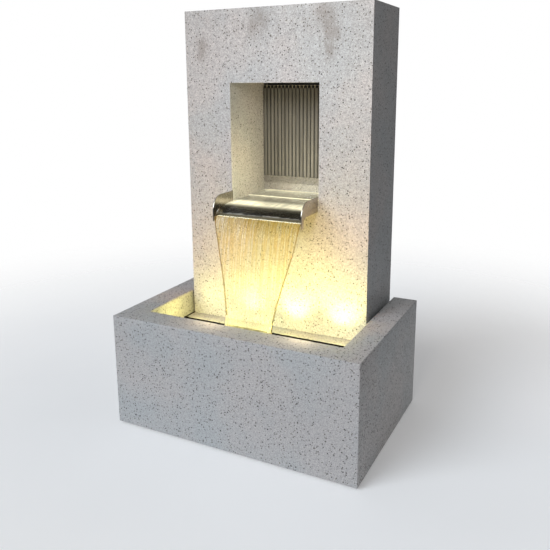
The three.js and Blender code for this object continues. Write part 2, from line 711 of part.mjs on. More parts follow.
// ---------------------------------------------------------------- lamp bar
function lampHousing() {
  const { half, width, below, above, wall } = LAMP;
  const side = width / 2;
  const channel = outline([
    [-side, -below + 2],
    [-side + 2, -below],
    [side - 2, -below],
    [side, -below + 2],
    [side, above],
    [side - wall, above],
    [side - wall, -below + wall + 1],
    [wall - side, -below + wall + 1],
    [wall - side, above],
    [-side, above],
  ]);
  return stretch(channel, -half, half);
}

function lampBoard() {
  const { half, width, below, wall } = LAMP;
  const side = width / 2 - wall - 2 * GAP;
  const top = -below + wall + 1 + GAP + BOARD_THICK;
  const board = block([GAP - half, half - GAP], [-side, side], [top - BOARD_THICK, top]);
  const emitters = [-1.5, -0.5, 0.5, 1.5].map((place) =>
    bar("z", EMITTER.radius, top - 0.5, top + EMITTER.rise, [place * LAMP_SPACING, 0], 16),
  );
  return join(board, ...emitters);
}

function lampLens() {
  const { half, width, above, wall } = LAMP;
  const side = width / 2 - wall - GAP;
  const crown = new THREE.Shape();
  crown.moveTo(-side, above - 2.5);
  crown.lineTo(side, above - 2.5);
  crown.lineTo(side, above - 1);
  crown.quadraticCurveTo(0, above + 0.6, -side, above - 1);
  crown.closePath();
  return stretch(crown, GAP - half, half - GAP, 8);
}

function lampEndCap(sign) {
  const { half, width, below, above, pin, cap } = LAMP;
  const side = width / 2;
  const near = half + GAP;
  const plate = block([near, near + cap], [-side, side], [-below, above]);
  const trunnion = bar("x", pin, near + cap - 1, near + cap + TRUNNION_LENGTH, [0, 0], 16);
  const made = join(plate, trunnion);
  return sign > 0 ? made : made.rotateZ(Math.PI);
}

// A cranked bracket that lies on the basin's ledge and carries the lamp bar's trunnion.
function lampBracket(sign) {
  const { half, cap, pin, z } = LAMP;
  const inner = half + cap + 4 * GAP;
  const flange = LEDGE_TOP + GAP - z;
  const outer = inner + HANGER.thick;
  const across = [-HANGER.width / 2, HANGER.width / 2];
  const flangeTop = flange + HANGER.thick;
  const hanger = block([inner, outer], across, [-HANGER.drop, flangeTop + HANGER.rise]);
  const arm = block([inner, WELL_HALF - GAP], across, [flange, flangeTop]);
  const hole = bar("x", pin + GAP, inner - 1, outer + 1, [0, 0], 20);
  const leadNotch = block([outer, outer + 10], [-4, 4], [flange - 1, flange + 5]);
  const made = cut(join(hanger, arm), hole, leadNotch);
  return sign > 0 ? made : made.rotateZ(Math.PI);
}

function makeLamp() {
  const lamp = group(0, LAMP.y, LAMP.z);
  add(lamp, "lamp_housing", lampHousing(), blackPlastic());
  add(lamp, "lamp_board", lampBoard(), circuitBoard());
  add(lamp, "lamp_lens", lampLens(), clearLens());
  for (const [side, sign] of SIDES) {
    add(lamp, `lamp_end_cap_${side}`, lampEndCap(sign), blackPlastic());
    add(lamp, `lamp_bracket_${side}`, lampBracket(sign), zinc());
  }
  return lamp;
}

// ---------------------------------------------------------------- wiring inside the tower
function makeWiring() {
  const wiring = group();
  const junction = block(JUNCTION.x, JUNCTION.y, JUNCTION.z);
  add(wiring, "junction_box", junction, blackPlastic());
  const entry = JUNCTION.z[0] - GAP;
  const entryY = JUNCTION.y[0] + 6;
  const pumpLead = route(
    [
      [PUMP.x - 8, PUMP.y + PUMP.length + 4 + GAP, FLOOR_TOP + PUMP.top - 10],
      [PUMP.x - 8, 78, FLOOR_TOP + PUMP.top - 10],
      [PUMP.x - 8, 86, FLOOR_TOP + 4],
      [LEAD_HOLE.x + 4, 86, FLOOR_TOP + 4],
      [LEAD_HOLE.x + 4, LEAD_HOLE.y + 2, LEDGE_TOP],
      [LEAD_HOLE.x + 4, LEAD_HOLE.y + 2, 114],
      [LEAD_HOLE.x + 8, entryY, 124],
      [LEAD_HOLE.x + 8, entryY, entry],
    ],
    5,
  );
  add(wiring, "pump_lead", tube(pumpLead, LEAD_RADIUS, 0, 8, 56), blackRubber());
  const lampEnd = -(LAMP.half + GAP + LAMP.cap + TRUNNION_LENGTH + GAP);
  const lampLead = route(
    [
      [lampEnd, LAMP.y, LAMP.z],
      [lampEnd - 7, LAMP.y, LAMP.z],
      [lampEnd - 7, LAMP.y, LAMP.z - 14],
      [lampEnd - 7, 66, LAMP.z - 14],
      [LEAD_HOLE.x - 4, LEAD_HOLE.y + 2, LEDGE_TOP - 4],
      [LEAD_HOLE.x - 4, LEAD_HOLE.y + 2, 114],
      [LEAD_HOLE.x - 8, entryY, 124],
      [LEAD_HOLE.x - 8, entryY, entry],
    ],
    5,
  );
  add(wiring, "lamp_lead", tube(lampLead, LEAD_RADIUS, 0, 8, 44), blackRubber());
  return wiring;
}

// ---------------------------------------------------------------- the fountain
const fountain = group();
fountain.name = "fountain";
const units = [makeBasin, makeDeck, makeTower, makeSpillway, makePump, makeHose, makeLamp, makeWiring];
for (const make of units) fountain.add(make());

export default fountain;
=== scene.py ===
# Looks of the tabletop water fountain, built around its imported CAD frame.
# Metres, +Z up, the front faces -Y, and the origin is on the ground under the middle of the basin.
import json
import math
import random

import bmesh
import bpy
from mathutils import Matrix, Vector, noise


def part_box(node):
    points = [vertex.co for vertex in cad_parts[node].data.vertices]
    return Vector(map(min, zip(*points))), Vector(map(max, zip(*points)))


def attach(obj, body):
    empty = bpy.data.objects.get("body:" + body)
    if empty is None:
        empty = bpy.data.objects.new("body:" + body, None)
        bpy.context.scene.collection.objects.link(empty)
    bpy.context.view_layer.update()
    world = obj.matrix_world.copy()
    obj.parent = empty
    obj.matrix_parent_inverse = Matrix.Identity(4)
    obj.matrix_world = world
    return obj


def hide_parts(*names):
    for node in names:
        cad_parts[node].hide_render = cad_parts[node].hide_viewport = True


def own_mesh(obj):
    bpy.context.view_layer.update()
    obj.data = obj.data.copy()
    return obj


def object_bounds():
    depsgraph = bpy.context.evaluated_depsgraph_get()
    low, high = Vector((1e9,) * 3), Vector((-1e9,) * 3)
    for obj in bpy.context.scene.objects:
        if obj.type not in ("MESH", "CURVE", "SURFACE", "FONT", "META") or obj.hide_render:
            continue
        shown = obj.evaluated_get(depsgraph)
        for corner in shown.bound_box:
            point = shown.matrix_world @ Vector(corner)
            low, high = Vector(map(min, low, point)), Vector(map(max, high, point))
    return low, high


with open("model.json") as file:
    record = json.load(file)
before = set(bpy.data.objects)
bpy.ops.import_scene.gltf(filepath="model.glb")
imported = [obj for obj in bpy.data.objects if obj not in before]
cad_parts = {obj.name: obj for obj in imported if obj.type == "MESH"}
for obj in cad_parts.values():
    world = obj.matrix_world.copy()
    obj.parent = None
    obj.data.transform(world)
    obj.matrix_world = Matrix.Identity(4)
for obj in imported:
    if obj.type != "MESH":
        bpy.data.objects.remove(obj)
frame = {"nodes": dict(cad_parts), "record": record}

CAD_BOUNDS = [list(corner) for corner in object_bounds()]
MM = 0.001
SLOT_OF = {part["node"]: part["material_slot"] for part in frame["record"]["subparts"]}
BODY_OF = {node: body for body, nodes in frame["record"]["behaviour"]["bodies"].items() for node in nodes}

# -------- sizes read from the frame
PAN_LOW, PAN_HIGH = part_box("spillway_pan")
CHEEK_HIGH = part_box("spillway_cheek_right")[1]
PANEL_LOW, PANEL_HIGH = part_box("ribbed_panel")
TOWER_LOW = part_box("tower_shell")[0]
GRATE_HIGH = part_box("trough_grate")[1]
LENS_LOW, LENS_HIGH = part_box("lamp_lens")
BOARD_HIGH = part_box("lamp_board")[1]
BASIN_LOW, BASIN_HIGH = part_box("basin_shell")

# -------- shape constants
RIB_COUNT = 22
RIB_RADIUS = 2.2 * MM
STEEL = 1.2 * MM
LIP_CURVE = 38 * MM
LIP_DROP = 13 * MM
CHEEK_ROUND = 17 * MM
TAIL_WIDTH = 5.7 * MM
TAIL_ROUND = 6 * MM
CHEEK_BOTTOM = CHEEK_HIGH.z - 16.9 * MM
NICHE_HALF = CHEEK_HIGH.x + 0.3 * MM
NICHE_FLOOR = PAN_HIGH.z + 1.5 * MM
NICHE_TOP = 395 * MM
SILL_FRONT = PANEL_LOW.y + 2.0 * MM
GRAVITY = 9.81
LIP_SPEED = 0.15  # metres a second, of the water as it leaves the drip edge
SHEET_FOOT = 27 * MM  # half the sheet's width where it lands
WATER_LEVEL = 72 * MM
WATER_IOR = 1.33
LAMP_SPACING = 58 * MM


# -------- mesh helpers
def new_object(name, data):
    made = bpy.data.objects.new(name, data)
    bpy.context.scene.collection.objects.link(made)
    return made


def object_from(name, form):
    """Turns a bmesh into an object with its faces pointing out."""
    bmesh.ops.recalc_face_normals(form, faces=form.faces)
    mesh = bpy.data.meshes.new(name)
    form.to_mesh(mesh)
    form.free()
    return new_object(name, mesh)


def modify(obj, kind, **settings):
    """Gives an object one modifier and applies it."""
    modifier = obj.modifiers.new(kind.lower(), kind)
    for key, value in settings.items():
        setattr(modifier, key, value)
    bpy.context.view_layer.update()
    graph = bpy.context.evaluated_depsgraph_get()
    mesh = bpy.data.meshes.new_from_object(obj.evaluated_get(graph))
    mesh.name = obj.name
    obj.modifiers.clear()
    obj.data = mesh
    return obj


def smooth(obj, angle=40):
    """Smooth shading that keeps edges sharper than the angle."""
    obj.data.shade_smooth()
    obj.data.set_sharp_from_angle(angle=math.radians(angle))
    return obj


def round_edges(obj, radius, segments=3, angle=40):
    """Rounds the edges sharper than the angle, and keeps flat faces flat in their shading."""
    modify(obj, "BEVEL", width=radius, segments=segments, limit_method="ANGLE", miter_outer="MITER_ARC",
           angle_limit=math.radians(angle))
    smooth(obj, 50)
    return modify(obj, "WEIGHTED_NORMAL", keep_sharp=True)


def solid_of(node):
    """A CAD node's solid as a bmesh, with its flat faces merged."""
    source = frame["nodes"][node].data
    form = bmesh.new()
    corners = [form.verts.new(vertex.co) for vertex in source.vertices]
    for face in source.polygons:
        form.faces.new([corners[i] for i in face.vertices])
    bmesh.ops.remove_doubles(form, verts=form.verts, dist=0.002 * MM)
    bmesh.ops.dissolve_limit(form, angle_limit=math.radians(0.3), verts=form.verts, edges=form.edges)
    return form


def prism(name, outline, x0, x1):
    """A closed outline of (y, z) points stretched from x0 to x1."""
    form = bmesh.new()
    near = [form.verts.new((x0, y, z)) for y, z in outline]
    far = [form.verts.new((x1, y, z)) for y, z in outline]
    form.faces.new(near)
    form.faces.new(far)
    count = len(outline)
    for i in range(count):
        j = (i + 1) % count
        form.faces.new((near[i], near[j], far[j], far[i]))
    return object_from(name, form)


def shell_of_rows(name, front, back):
    """A closed thin solid between two grids of points, given as equal lists of rows."""
    form = bmesh.new()
    sides = [[[form.verts.new(p) for p in row] for row in grid] for grid in (front, back)]
    rows, columns = len(front), len(front[0])
    for grid in sides:
        for r in range(rows - 1):
            for c in range(columns - 1):
                form.faces.new((grid[r][c], grid[r][c + 1], grid[r + 1][c + 1], grid[r + 1][c]))
    border = [(0, c) for c in range(columns)]
    border += [(r, columns - 1) for r in range(1, rows)]
    border += [(rows - 1, c) for c in range(columns - 2, -1, -1)]
    border += [(r, 0) for r in range(rows - 2, 0, -1)]
    for i, (r, c) in enumerate(border):
        s, d = border[(i + 1) % len(border)]
        form.faces.new((sides[0][r][c], sides[0][s][d], sides[1][s][d], sides[1][r][c]))
    return object_from(name, form)


def shell_from(name, rows, columns, pair):
    """A closed thin solid whose two sides' points at each row and column come from pair(row, column)."""
    grid = [[pair(r, c) for c in range(columns + 1)] for r in range(rows + 1)]
    return shell_of_rows(name, *([[both[side] for both in row] for row in grid] for side in (0, 1)))


def join_rings(form, rings):
    """Faces between equal rings of points, and a cap at each end."""
    for below, above in zip(rings, rings[1:]):
        for k in range(len(below)):
            j = (k + 1) % len(below)
            form.faces.new((below[k], below[j], above[j], above[k]))
    form.faces.new(rings[0])
    form.faces.new(rings[-1])


def lathe(name, profile, steps):
    """A profile of (radius, height) points turned about Z. It starts and ends on the axis."""
    form = bmesh.new()
    rings = []
    for radius, height in profile:
        if radius < 1e-7:
            rings.append([form.verts.new((0, 0, height))])
            continue
        turns = [2 * math.pi * i / steps for i in range(steps)]
        rings.append([form.verts.new((radius * math.cos(t), radius * math.sin(t), height)) for t in turns])
    for below, above in zip(rings, rings[1:]):
        for i in range(steps):
            j = (i + 1) % steps
            corners = [ring[k % len(ring)] for ring, k in ((below, i), (below, j), (above, j), (above, i))]
            form.faces.new(list(dict.fromkeys(corners)))
    return object_from(name, form)


def tube_along(name, path, radii):
    """A closed round tube through the points, with a radius at each of them."""
    form = bmesh.new()
    rings = []
    sides = 12
    for i, point in enumerate(path):
        ahead = path[min(i + 1, len(path) - 1)] - path[max(i - 1, 0)]
        across = ahead.cross(Vector((0, 1, 0))).normalized()
        other = ahead.cross(across).normalized()
        ring = []
        for k in range(sides):
            turn = 2 * math.pi * k / sides
            offset = across * math.cos(turn) + other * math.sin(turn)
            ring.append(form.verts.new(point + offset * radii[i]))
        rings.append(ring)
    join_rings(form, rings)
    return object_from(name, form)


def arc(centre, radius, start, end, steps):
    """Points on a circle in the YZ plane, angles in degrees from +Y towards +Z."""
    points = []
    for i in range(steps + 1):
        turn = math.radians(start + (end - start) * i / steps)
        points.append((centre[0] + radius * math.cos(turn), centre[1] + radius * math.sin(turn)))
    return points


def ripple(x, y, z, scale, seed=0.0):
    """Smooth noise from -1 to 1 at a point, for a scale of so many waves to the metre."""
    return noise.noise(Vector((x * scale + seed, y * scale, z * scale)))


def dress(piece, look, body):
    """Gives a piece its material, body and slot."""
    piece.data.materials.clear()
    piece.data.materials.append(MATERIAL[look])
    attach(piece, body)
    return piece


def dress_node(piece, node, look=None):
    """Dresses the piece that stands for a CAD node, in its slot's usual material unless told otherwise."""
    dress(piece, look or SLOT_OF[node], BODY_OF[node])
    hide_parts(node)


# -------- node material helpers
class Shader:
    """A material's or the world's node tree, with short ways to add and join nodes."""

    def __init__(self, name, world=False):
        self.owner = (bpy.data.worlds if world else bpy.data.materials).new(name)
        self.owner.use_nodes = True
        self.tree = self.owner.node_tree
        self.tree.nodes.clear()
        self.output = self.tree.nodes.new("ShaderNodeOutputWorld" if world else "ShaderNodeOutputMaterial")
        self.place = self.add("ShaderNodeTexCoord").outputs["Generated" if world else "Object"]

    def add(self, kind, settings=None, **inputs):
        made = self.tree.nodes.new(kind)
        for key, value in (settings or {}).items():
            setattr(made, key, value)
        for key, value in inputs.items():
            self.set(made.inputs[key.replace("_", " ")], value)
        return made

    def set(self, socket, value):
        if isinstance(value, bpy.types.NodeSocket):
            self.tree.links.new(value, socket)
        else:
            socket.default_value = value

    def math(self, operation, a, b=0.0, c=0.0, clamp=False):
        made = self.tree.nodes.new("ShaderNodeMath")
        made.operation = operation
        made.use_clamp = clamp
        for socket, value in zip(made.inputs, (a, b, c)):
            self.set(socket, value)
        return made.outputs[0]

    def mapped(self, scale):
        return self.add("ShaderNodeMapping", Vector=self.place, Scale=scale).outputs[0]

    def noise(self, scale, detail=2.0, roughness=0.5, place=None):
        made = self.add("ShaderNodeTexNoise", Vector=place or self.place, Scale=scale, Detail=detail,
                        Roughness=roughness)
        return made.outputs["Fac"]

    def band(self, value, low, high, from_value=0.0, to_value=1.0):
        """Moves smoothly from one value to another as the input goes from low to high."""
        made = self.add("ShaderNodeMapRange", {"interpolation_type": "SMOOTHSTEP"}, Value=value, From_Min=low,
                        From_Max=high, To_Min=from_value, To_Max=to_value)
        return made.outputs[0]

    def mix(self, factor, a, b):
        made = self.tree.nodes.new("ShaderNodeMix")
        made.data_type = "RGBA"
        self.set(made.inputs[0], factor)
        self.set(made.inputs[6], colour(a))
        self.set(made.inputs[7], colour(b))
        return made.outputs[2]

    def bump(self, height, distance, strength):
        return self.add("ShaderNodeBump", Height=height, Distance=distance, Strength=strength).outputs[0]

    def axes(self):
        return self.add("ShaderNodeSeparateXYZ", Vector=self.place).outputs

    def specks(self, scale, radius, share, place):
        """Round specks at random places: a mask, and a random value for each speck."""
        cells = self.add("ShaderNodeTexVoronoi", Vector=place, Scale=scale)
        chance = self.add("ShaderNodeSeparateColor", Color=cells.outputs["Color"]).outputs
        size = self.math("MULTIPLY_ADD", chance[1], radius * 0.9, radius * 0.45)
        near = self.math("SUBTRACT", size, cells.outputs["Distance"])
        mask = self.band(near, 0.0, radius * 0.35)
        picked = self.math("LESS_THAN", chance[0], share)
        return self.math("MULTIPLY", mask, picked), chance[2]

    def principled(self, **inputs):
        return self.add("ShaderNodeBsdfPrincipled", **inputs)

    def blend(self, share, first, second):
        """Mixes two shader nodes, with a share of the second."""
        made = self.tree.nodes.new("ShaderNodeMixShader")
        for socket, value in zip(made.inputs, (share, first.outputs[0], second.outputs[0])):
            self.set(socket, value)
        return made

    def shine_over(self, body, normal, ior, roughness, share=1.0):
        """A clear surface's reflections over the body, strongest at glancing angles."""
        shine = self.add("ShaderNodeBsdfGlossy", Roughness=roughness, Normal=normal)
        edge = self.add("ShaderNodeFresnel", IOR=ior, Normal=normal).outputs[0]
        return self.blend(self.math("MULTIPLY", edge, share), body, shine)

    def finish(self, shader):
        self.tree.links.new(shader.outputs[0], self.output.inputs["Surface"])
        return self.owner


def colour(value):
    if isinstance(value, bpy.types.NodeSocket) or len(value) == 4:
        return value
    return (*value, 1.0)


# -------- materials
def terrazzo(name, chips, wet=False):
    """Pale polished stone with a share of dark chips. Inside the niche it is wet: darker and shinier."""
    s = Shader(name)
    wobble = s.add("ShaderNodeTexNoise", Vector=s.place, Scale=700.0, Detail=1.0).outputs["Color"]
    shift = s.add("ShaderNodeVectorMath", {"operation": "SCALE"}, Vector=wobble, Scale=0.0009).outputs[0]
    place = s.add("ShaderNodeVectorMath", {"operation": "ADD"}, Vector=s.place)
    s.set(place.inputs[1], shift)
    place = place.outputs[0]

    cloud = s.noise(22.0, 4.0, 0.6)
    drift = s.noise(11.0, 3.0, 0.55)
    grain = s.noise(1150.0, 1.0, 0.5)
    mottle = s.noise(430.0, 3.0, 0.65)
    ground = s.mix(s.band(cloud, 0.3, 0.7), (0.47, 0.47, 0.47), (0.53, 0.525, 0.52))
    ground = s.mix(s.band(drift, 0.35, 0.65), s.mix(0.5, ground, (0.45, 0.49, 0.51)),
                   s.mix(0.5, ground, (0.54, 0.49, 0.475)))
    ground = s.mix(s.band(mottle, 0.42, 0.66, 0.0, 0.5), ground, (0.27, 0.272, 0.275))
    ground = s.mix(s.band(grain, 0.38, 0.62, 0.0, 0.62), ground, (0.235, 0.232, 0.23))
    pale, _ = s.specks(430.0, 0.3, 0.3, place)
    ground = s.mix(s.math("MULTIPLY", pale, 0.5), ground, (0.64, 0.635, 0.625))
    small, tone = s.specks(430.0, 0.3, chips, place)
    large, tone_large = s.specks(260.0, 0.21, 0.8 * chips, place)
    dark = s.mix(tone, (0.015, 0.015, 0.016), (0.17, 0.155, 0.135))
    dark_large = s.mix(tone_large, (0.012, 0.012, 0.014), (0.14, 0.125, 0.105))
    ground = s.mix(s.math("MULTIPLY", small, 0.95), ground, dark)
    ground = s.mix(s.math("MULTIPLY", large, 0.95), ground, dark_large)

    roughness = s.band(s.noise(60.0, 3.0), 0.3, 0.7, 0.34, 0.46)
    pits = s.math("MAXIMUM", small, large)
    height = s.math("SUBTRACT", s.math("MULTIPLY", grain, 0.5), s.math("MULTIPLY", pits, 0.35))
    normal = s.bump(height, 0.12 * MM, 0.35)
    if wet:
        ground, roughness = wetted(s, ground, roughness)
        ground = add_dark_smudges(s, ground)
    return s.finish(s.principled(Base_Color=ground, Roughness=roughness, Normal=normal,
                                 Specular_IOR_Level=0.12))


def wetted(s, ground, roughness):
    """The niche's walls, floor and sill are wet, with streaks down the sill."""
    x, y, z = s.axes()
    inside = s.math("MULTIPLY", s.band(y, TOWER_LOW.y, TOWER_LOW.y + 6 * MM),
                    s.band(z, NICHE_TOP, NICHE_TOP - 95 * MM, 0.25, 1.0))
    inside = s.math("MULTIPLY", inside, s.math("LESS_THAN", s.math("ABSOLUTE", x), NICHE_HALF + 1 * MM))
    inside = s.math("MULTIPLY", inside, s.math("GREATER_THAN", z, NICHE_FLOOR - 3 * MM))
    inside = s.math("MULTIPLY", inside, s.math("LESS_THAN", z, NICHE_TOP + 1 * MM))
    streaks = s.noise(1.0, 3.0, 0.6, s.mapped((420.0, 60.0, 14.0)))
    darker = s.mix(s.band(streaks, 0.4, 0.65, 0.1, 0.45), ground, (0.24, 0.23, 0.2))
    ground = s.mix(s.math("MULTIPLY", inside, 0.5), ground, darker)
    shiny = s.band(streaks, 0.35, 0.65, 0.1, 0.2)
    made = s.tree.nodes.new("ShaderNodeMix")
    s.set(made.inputs[0], inside)
    s.set(made.inputs[2], roughness)
    s.set(made.inputs[3], shiny)
    return ground, made.outputs[0]


# Soft dark marks on the tower's upper front: place, height and radius
DARK_SMUDGES = (
    (-0.093, 0.437, 0.0055), (-0.094, 0.428, 0.0045), (-0.017, 0.466, 0.008), (-0.024, 0.459, 0.006),
    (0.067, 0.458, 0.007), (0.071, 0.446, 0.006), (0.068, 0.431, 0.005), (0.062, 0.468, 0.008),
)


def add_dark_smudges(s, ground):
    """Soft brown-grey smudges, and a faint darkening that grows towards the top."""
    x, y, z = s.axes()
    cloud = s.noise(1.0, 5.0, 0.7, s.mapped((130.0, 130.0, 60.0)))
    front = s.band(y, TOWER_LOW.y + 1 * MM, TOWER_LOW.y + 4 * MM, 1.0, 0.0)
    total = 0.0
    for place_x, place_z, radius in DARK_SMUDGES:
        across = s.math("POWER", s.math("SUBTRACT", x, place_x), 2.0)
        up = s.math("POWER", s.math("MULTIPLY", s.math("SUBTRACT", z, place_z), 0.6), 2.0)
        away = s.math("MULTIPLY_ADD", cloud, 0.024, s.math("SQRT", s.math("ADD", across, up)))
        patch = s.band(away, radius * 0.3 + 0.011, radius * 2.2 + 0.013, 1.0, 0.0)
        total = s.math("MAXIMUM", patch, total)
    haze = s.math("MULTIPLY", s.band(z, NICHE_TOP + 5 * MM, NICHE_TOP + 80 * MM, 0.0, 0.22),
                  s.band(cloud, 0.35, 0.7))
    smudge_and_haze = s.math("MAXIMUM", s.math("MULTIPLY", total, 0.5), haze)
    return s.mix(s.math("MULTIPLY", smudge_and_haze, front), ground, (0.17, 0.145, 0.125))


def brushed_steel(name, wet=False, along="x"):
    """Steel brushed along one axis. The wet one has a water film, a painted bronze reflection band on its lip
    and a painted dark reflection towards its drip edge. The plain one is darkened brown all over, a painted
    dim reflection.
    """
    s = Shader(name)
    stretch = {"x": (40.0, 5200.0, 5200.0), "z": (5200.0, 5200.0, 60.0)}[along]
    brush = s.noise(1.0, 3.0, 0.7, s.mapped(stretch))
    smear = s.noise(38.0, 4.0, 0.6)
    base = s.mix(s.band(smear, 0.35, 0.7), (0.58, 0.54, 0.47), (0.68, 0.64, 0.56))
    base = s.mix(s.band(brush, 0.3, 0.7, 0.0, 0.4), base, (0.38, 0.35, 0.30))
    if not wet:
        # painted dim reflection: the plain steel is darkened brown all over
        base = s.mix(0.45, base, (0.30, 0.26, 0.20))
    else:
        z = s.axes()[2]
        # painted reflection: a bronze band on the lip's curve, and a dark band towards the drip edge
        edge = s.band(z, PAN_LOW.z + 1.0 * MM, PAN_LOW.z + 8.0 * MM, 0.8, 0.0)
        bronze_painted_light = s.band(z, PAN_LOW.z + 7.0 * MM, PAN_LOW.z + 10.6 * MM, 0.7, 0.0)
        base = s.mix(bronze_painted_light, base, (0.62, 0.5, 0.28))
        base = s.mix(edge, base, (0.11, 0.09, 0.055))
    uneven = s.math("MULTIPLY_ADD", smear, 0.5, s.math("MULTIPLY", brush, 0.5))
    coat = {}
    if wet:
        waves = s.bump(s.noise(170.0, 2.0, 0.5), 0.3 * MM, 0.15)
        coat = {"Coat_Weight": 0.3, "Coat_Roughness": 0.05, "Coat_IOR": WATER_IOR, "Coat_Normal": waves}
    return s.finish(s.principled(Base_Color=base, Roughness=s.band(uneven, 0.3, 0.7, 0.16, 0.3), Metallic=1.0,
                                 Normal=s.bump(brush, 0.03 * MM, 0.18), **coat))


def ribbed_resin(name):
    """Grey-brown moulded resin under running water, with streaks down the ribs, painted shade in the grooves
    and a painted highlight on the ribs' domed tops.
    """
    s = Shader(name)
    streaks = s.noise(1.0, 4.0, 0.65, s.mapped((330.0, 90.0, 9.0)))
    blots = s.noise(70.0, 4.0, 0.6)
    base = s.mix(s.band(streaks, 0.32, 0.68), (0.10, 0.098, 0.092), (0.16, 0.156, 0.145))
    base = s.mix(s.band(blots, 0.55, 0.75, 0.0, 0.3), base, (0.22, 0.21, 0.19))
    _, y, z = s.axes()
    # painted shade: the grooves between the ribs are near-black
    groove = s.band(y, PANEL_LOW.y + 0.55 * RIB_RADIUS, PANEL_LOW.y + 0.95 * RIB_RADIUS, 0.0, 0.9)
    base = s.mix(groove, base, (0.012, 0.012, 0.012))
    # near the top the ribs' domed crests get a pale painted highlight, and the grooves there painted black
    # shade
    high = s.band(z, PANEL_HIGH.z - 4.2 * MM, PANEL_HIGH.z - 3.4 * MM, 0.0, 0.95)
    crest_light_and_shade = s.mix(s.band(groove, 0.1, 0.6), (0.01, 0.01, 0.01), (0.42, 0.39, 0.32))
    base = s.mix(high, base, crest_light_and_shade)
    roughness = s.band(streaks, 0.3, 0.7, 0.35, 0.55)
    normal = s.bump(s.math("ADD", s.math("MULTIPLY", streaks, 0.6), s.noise(900.0, 2.0)), 0.12 * MM, 0.4)
    return s.finish(s.principled(Base_Color=base, Roughness=roughness, Normal=normal, Coat_Weight=0.15,
                                 Coat_Roughness=0.18, Coat_IOR=WATER_IOR))


def moulded(name, base, fleck, roughness, depth=0.06, shine=0.5):
    """Plastic or rubber with a fine moulded grain, faint blotches and scuffs."""
    s = Shader(name)
    fine = s.noise(1600.0, 3.0, 0.6)
    wide = s.noise(55.0, 4.0, 0.6)
    scuffs = s.noise(1.0, 2.0, 0.5, s.mapped((90.0, 700.0, 240.0)))
    shade = s.mix(s.band(wide, 0.35, 0.7, 0.0, 0.25), base, fleck)
    shade = s.mix(s.band(scuffs, 0.62, 0.72, 0.0, 0.2), shade, fleck)
    uneven = s.band(s.math("ADD", s.math("MULTIPLY", wide, 0.6), s.math("MULTIPLY", scuffs, 0.4)), 0.3, 0.7,
                    roughness - 0.07, roughness + 0.1)
    return s.finish(s.principled(Base_Color=shade, Roughness=uneven, Normal=s.bump(fine, depth * MM, 0.5),
                                 Specular_IOR_Level=shine))


def fibre_board(name):
    """The grey cover board: matt, with short fibres and a few pores."""
    s = Shader(name)
    fibres = s.noise(1.0, 4.0, 0.7, s.mapped((160.0, 900.0, 1100.0)))
    cloud = s.noise(26.0, 4.0, 0.6)
    pores, _ = s.specks(260.0, 0.16, 0.35, s.place)
    shade = s.mix(s.band(cloud, 0.3, 0.7), (0.26, 0.255, 0.245), (0.33, 0.325, 0.31))
    shade = s.mix(s.band(fibres, 0.45, 0.7, 0.0, 0.45), shade, (0.42, 0.41, 0.39))
    shade = s.mix(s.math("MULTIPLY", pores, 0.6), shade, (0.1, 0.1, 0.095))
    normal = s.bump(s.math("SUBTRACT", fibres, s.math("MULTIPLY", pores, 0.6)), 0.15 * MM, 0.5)
    roughness = s.band(cloud, 0.3, 0.7, 0.7, 0.85)
    return s.finish(s.principled(Base_Color=shade, Roughness=roughness, Normal=normal))


def plated(name):
    """Zinc-plated steel with a faint crystal mottle."""
    s = Shader(name)
    cells = s.add("ShaderNodeTexVoronoi", Vector=s.place, Scale=700.0)
    tone = s.add("ShaderNodeSeparateColor", Color=cells.outputs["Color"]).outputs[0]
    shade = s.mix(tone, (0.52, 0.53, 0.52), (0.68, 0.68, 0.65))
    wear = s.noise(240.0, 4.0, 0.6)
    roughness = s.band(s.math("MULTIPLY_ADD", tone, 0.3, s.math("MULTIPLY", wear, 0.7)), 0.2, 0.8, 0.24, 0.42)
    return s.finish(s.principled(Base_Color=shade, Roughness=roughness, Metallic=1.0,
                                 Normal=s.bump(wear, 0.05 * MM, 0.4)))


def clear_silicone(name):
    """The hose: milky clear silicone with a faint film inside."""
    s = Shader(name)
    film = s.noise(60.0, 3.0, 0.6)
    shade = s.mix(s.band(film, 0.35, 0.7), (0.78, 0.78, 0.74), (0.66, 0.68, 0.62))
    return s.finish(s.principled(Base_Color=shade, Roughness=s.band(film, 0.3, 0.7, 0.18, 0.3), IOR=1.41,
                                 Transmission_Weight=0.45, Normal=s.bump(film, 0.1 * MM, 0.3)))


def lamp_lens_clear(name):
    """A clear lens with fine prisms across it. Light passes straight through."""
    s = Shader(name)
    prisms = s.noise(1.0, 1.0, 0.5, s.mapped((1500.0, 200.0, 200.0)))
    clear = s.add("ShaderNodeBsdfTransparent", Color=(1.0, 0.95, 0.84, 1.0))
    roughness = s.band(prisms, 0.3, 0.7, 0.04, 0.14)
    return s.finish(s.shine_over(clear, s.bump(prisms, 0.1 * MM, 0.4), 1.49, roughness))


def lit_board(name):
    """The white lamp board, whose raised emitters glow."""
    s = Shader(name)
    tracks = s.noise(1.0, 1.0, 0.3, s.mapped((40.0, 900.0, 10.0)))
    shade = s.mix(s.band(tracks, 0.45, 0.55), (0.80, 0.78, 0.70), (0.64, 0.66, 0.58))
    grain = s.noise(1800.0, 2.0)
    lit = s.band(s.axes()[2], BOARD_HIGH.z - 1.5 * MM, BOARD_HIGH.z - 1.2 * MM)
    return s.finish(s.principled(Base_Color=shade, Roughness=s.band(grain, 0.3, 0.7, 0.35, 0.5),
                                 Normal=s.bump(grain, 0.05 * MM, 0.3), Emission_Color=(1.0, 0.82, 0.42, 1.0),
                                 Emission_Strength=s.math("MULTIPLY", lit, 18.0)))


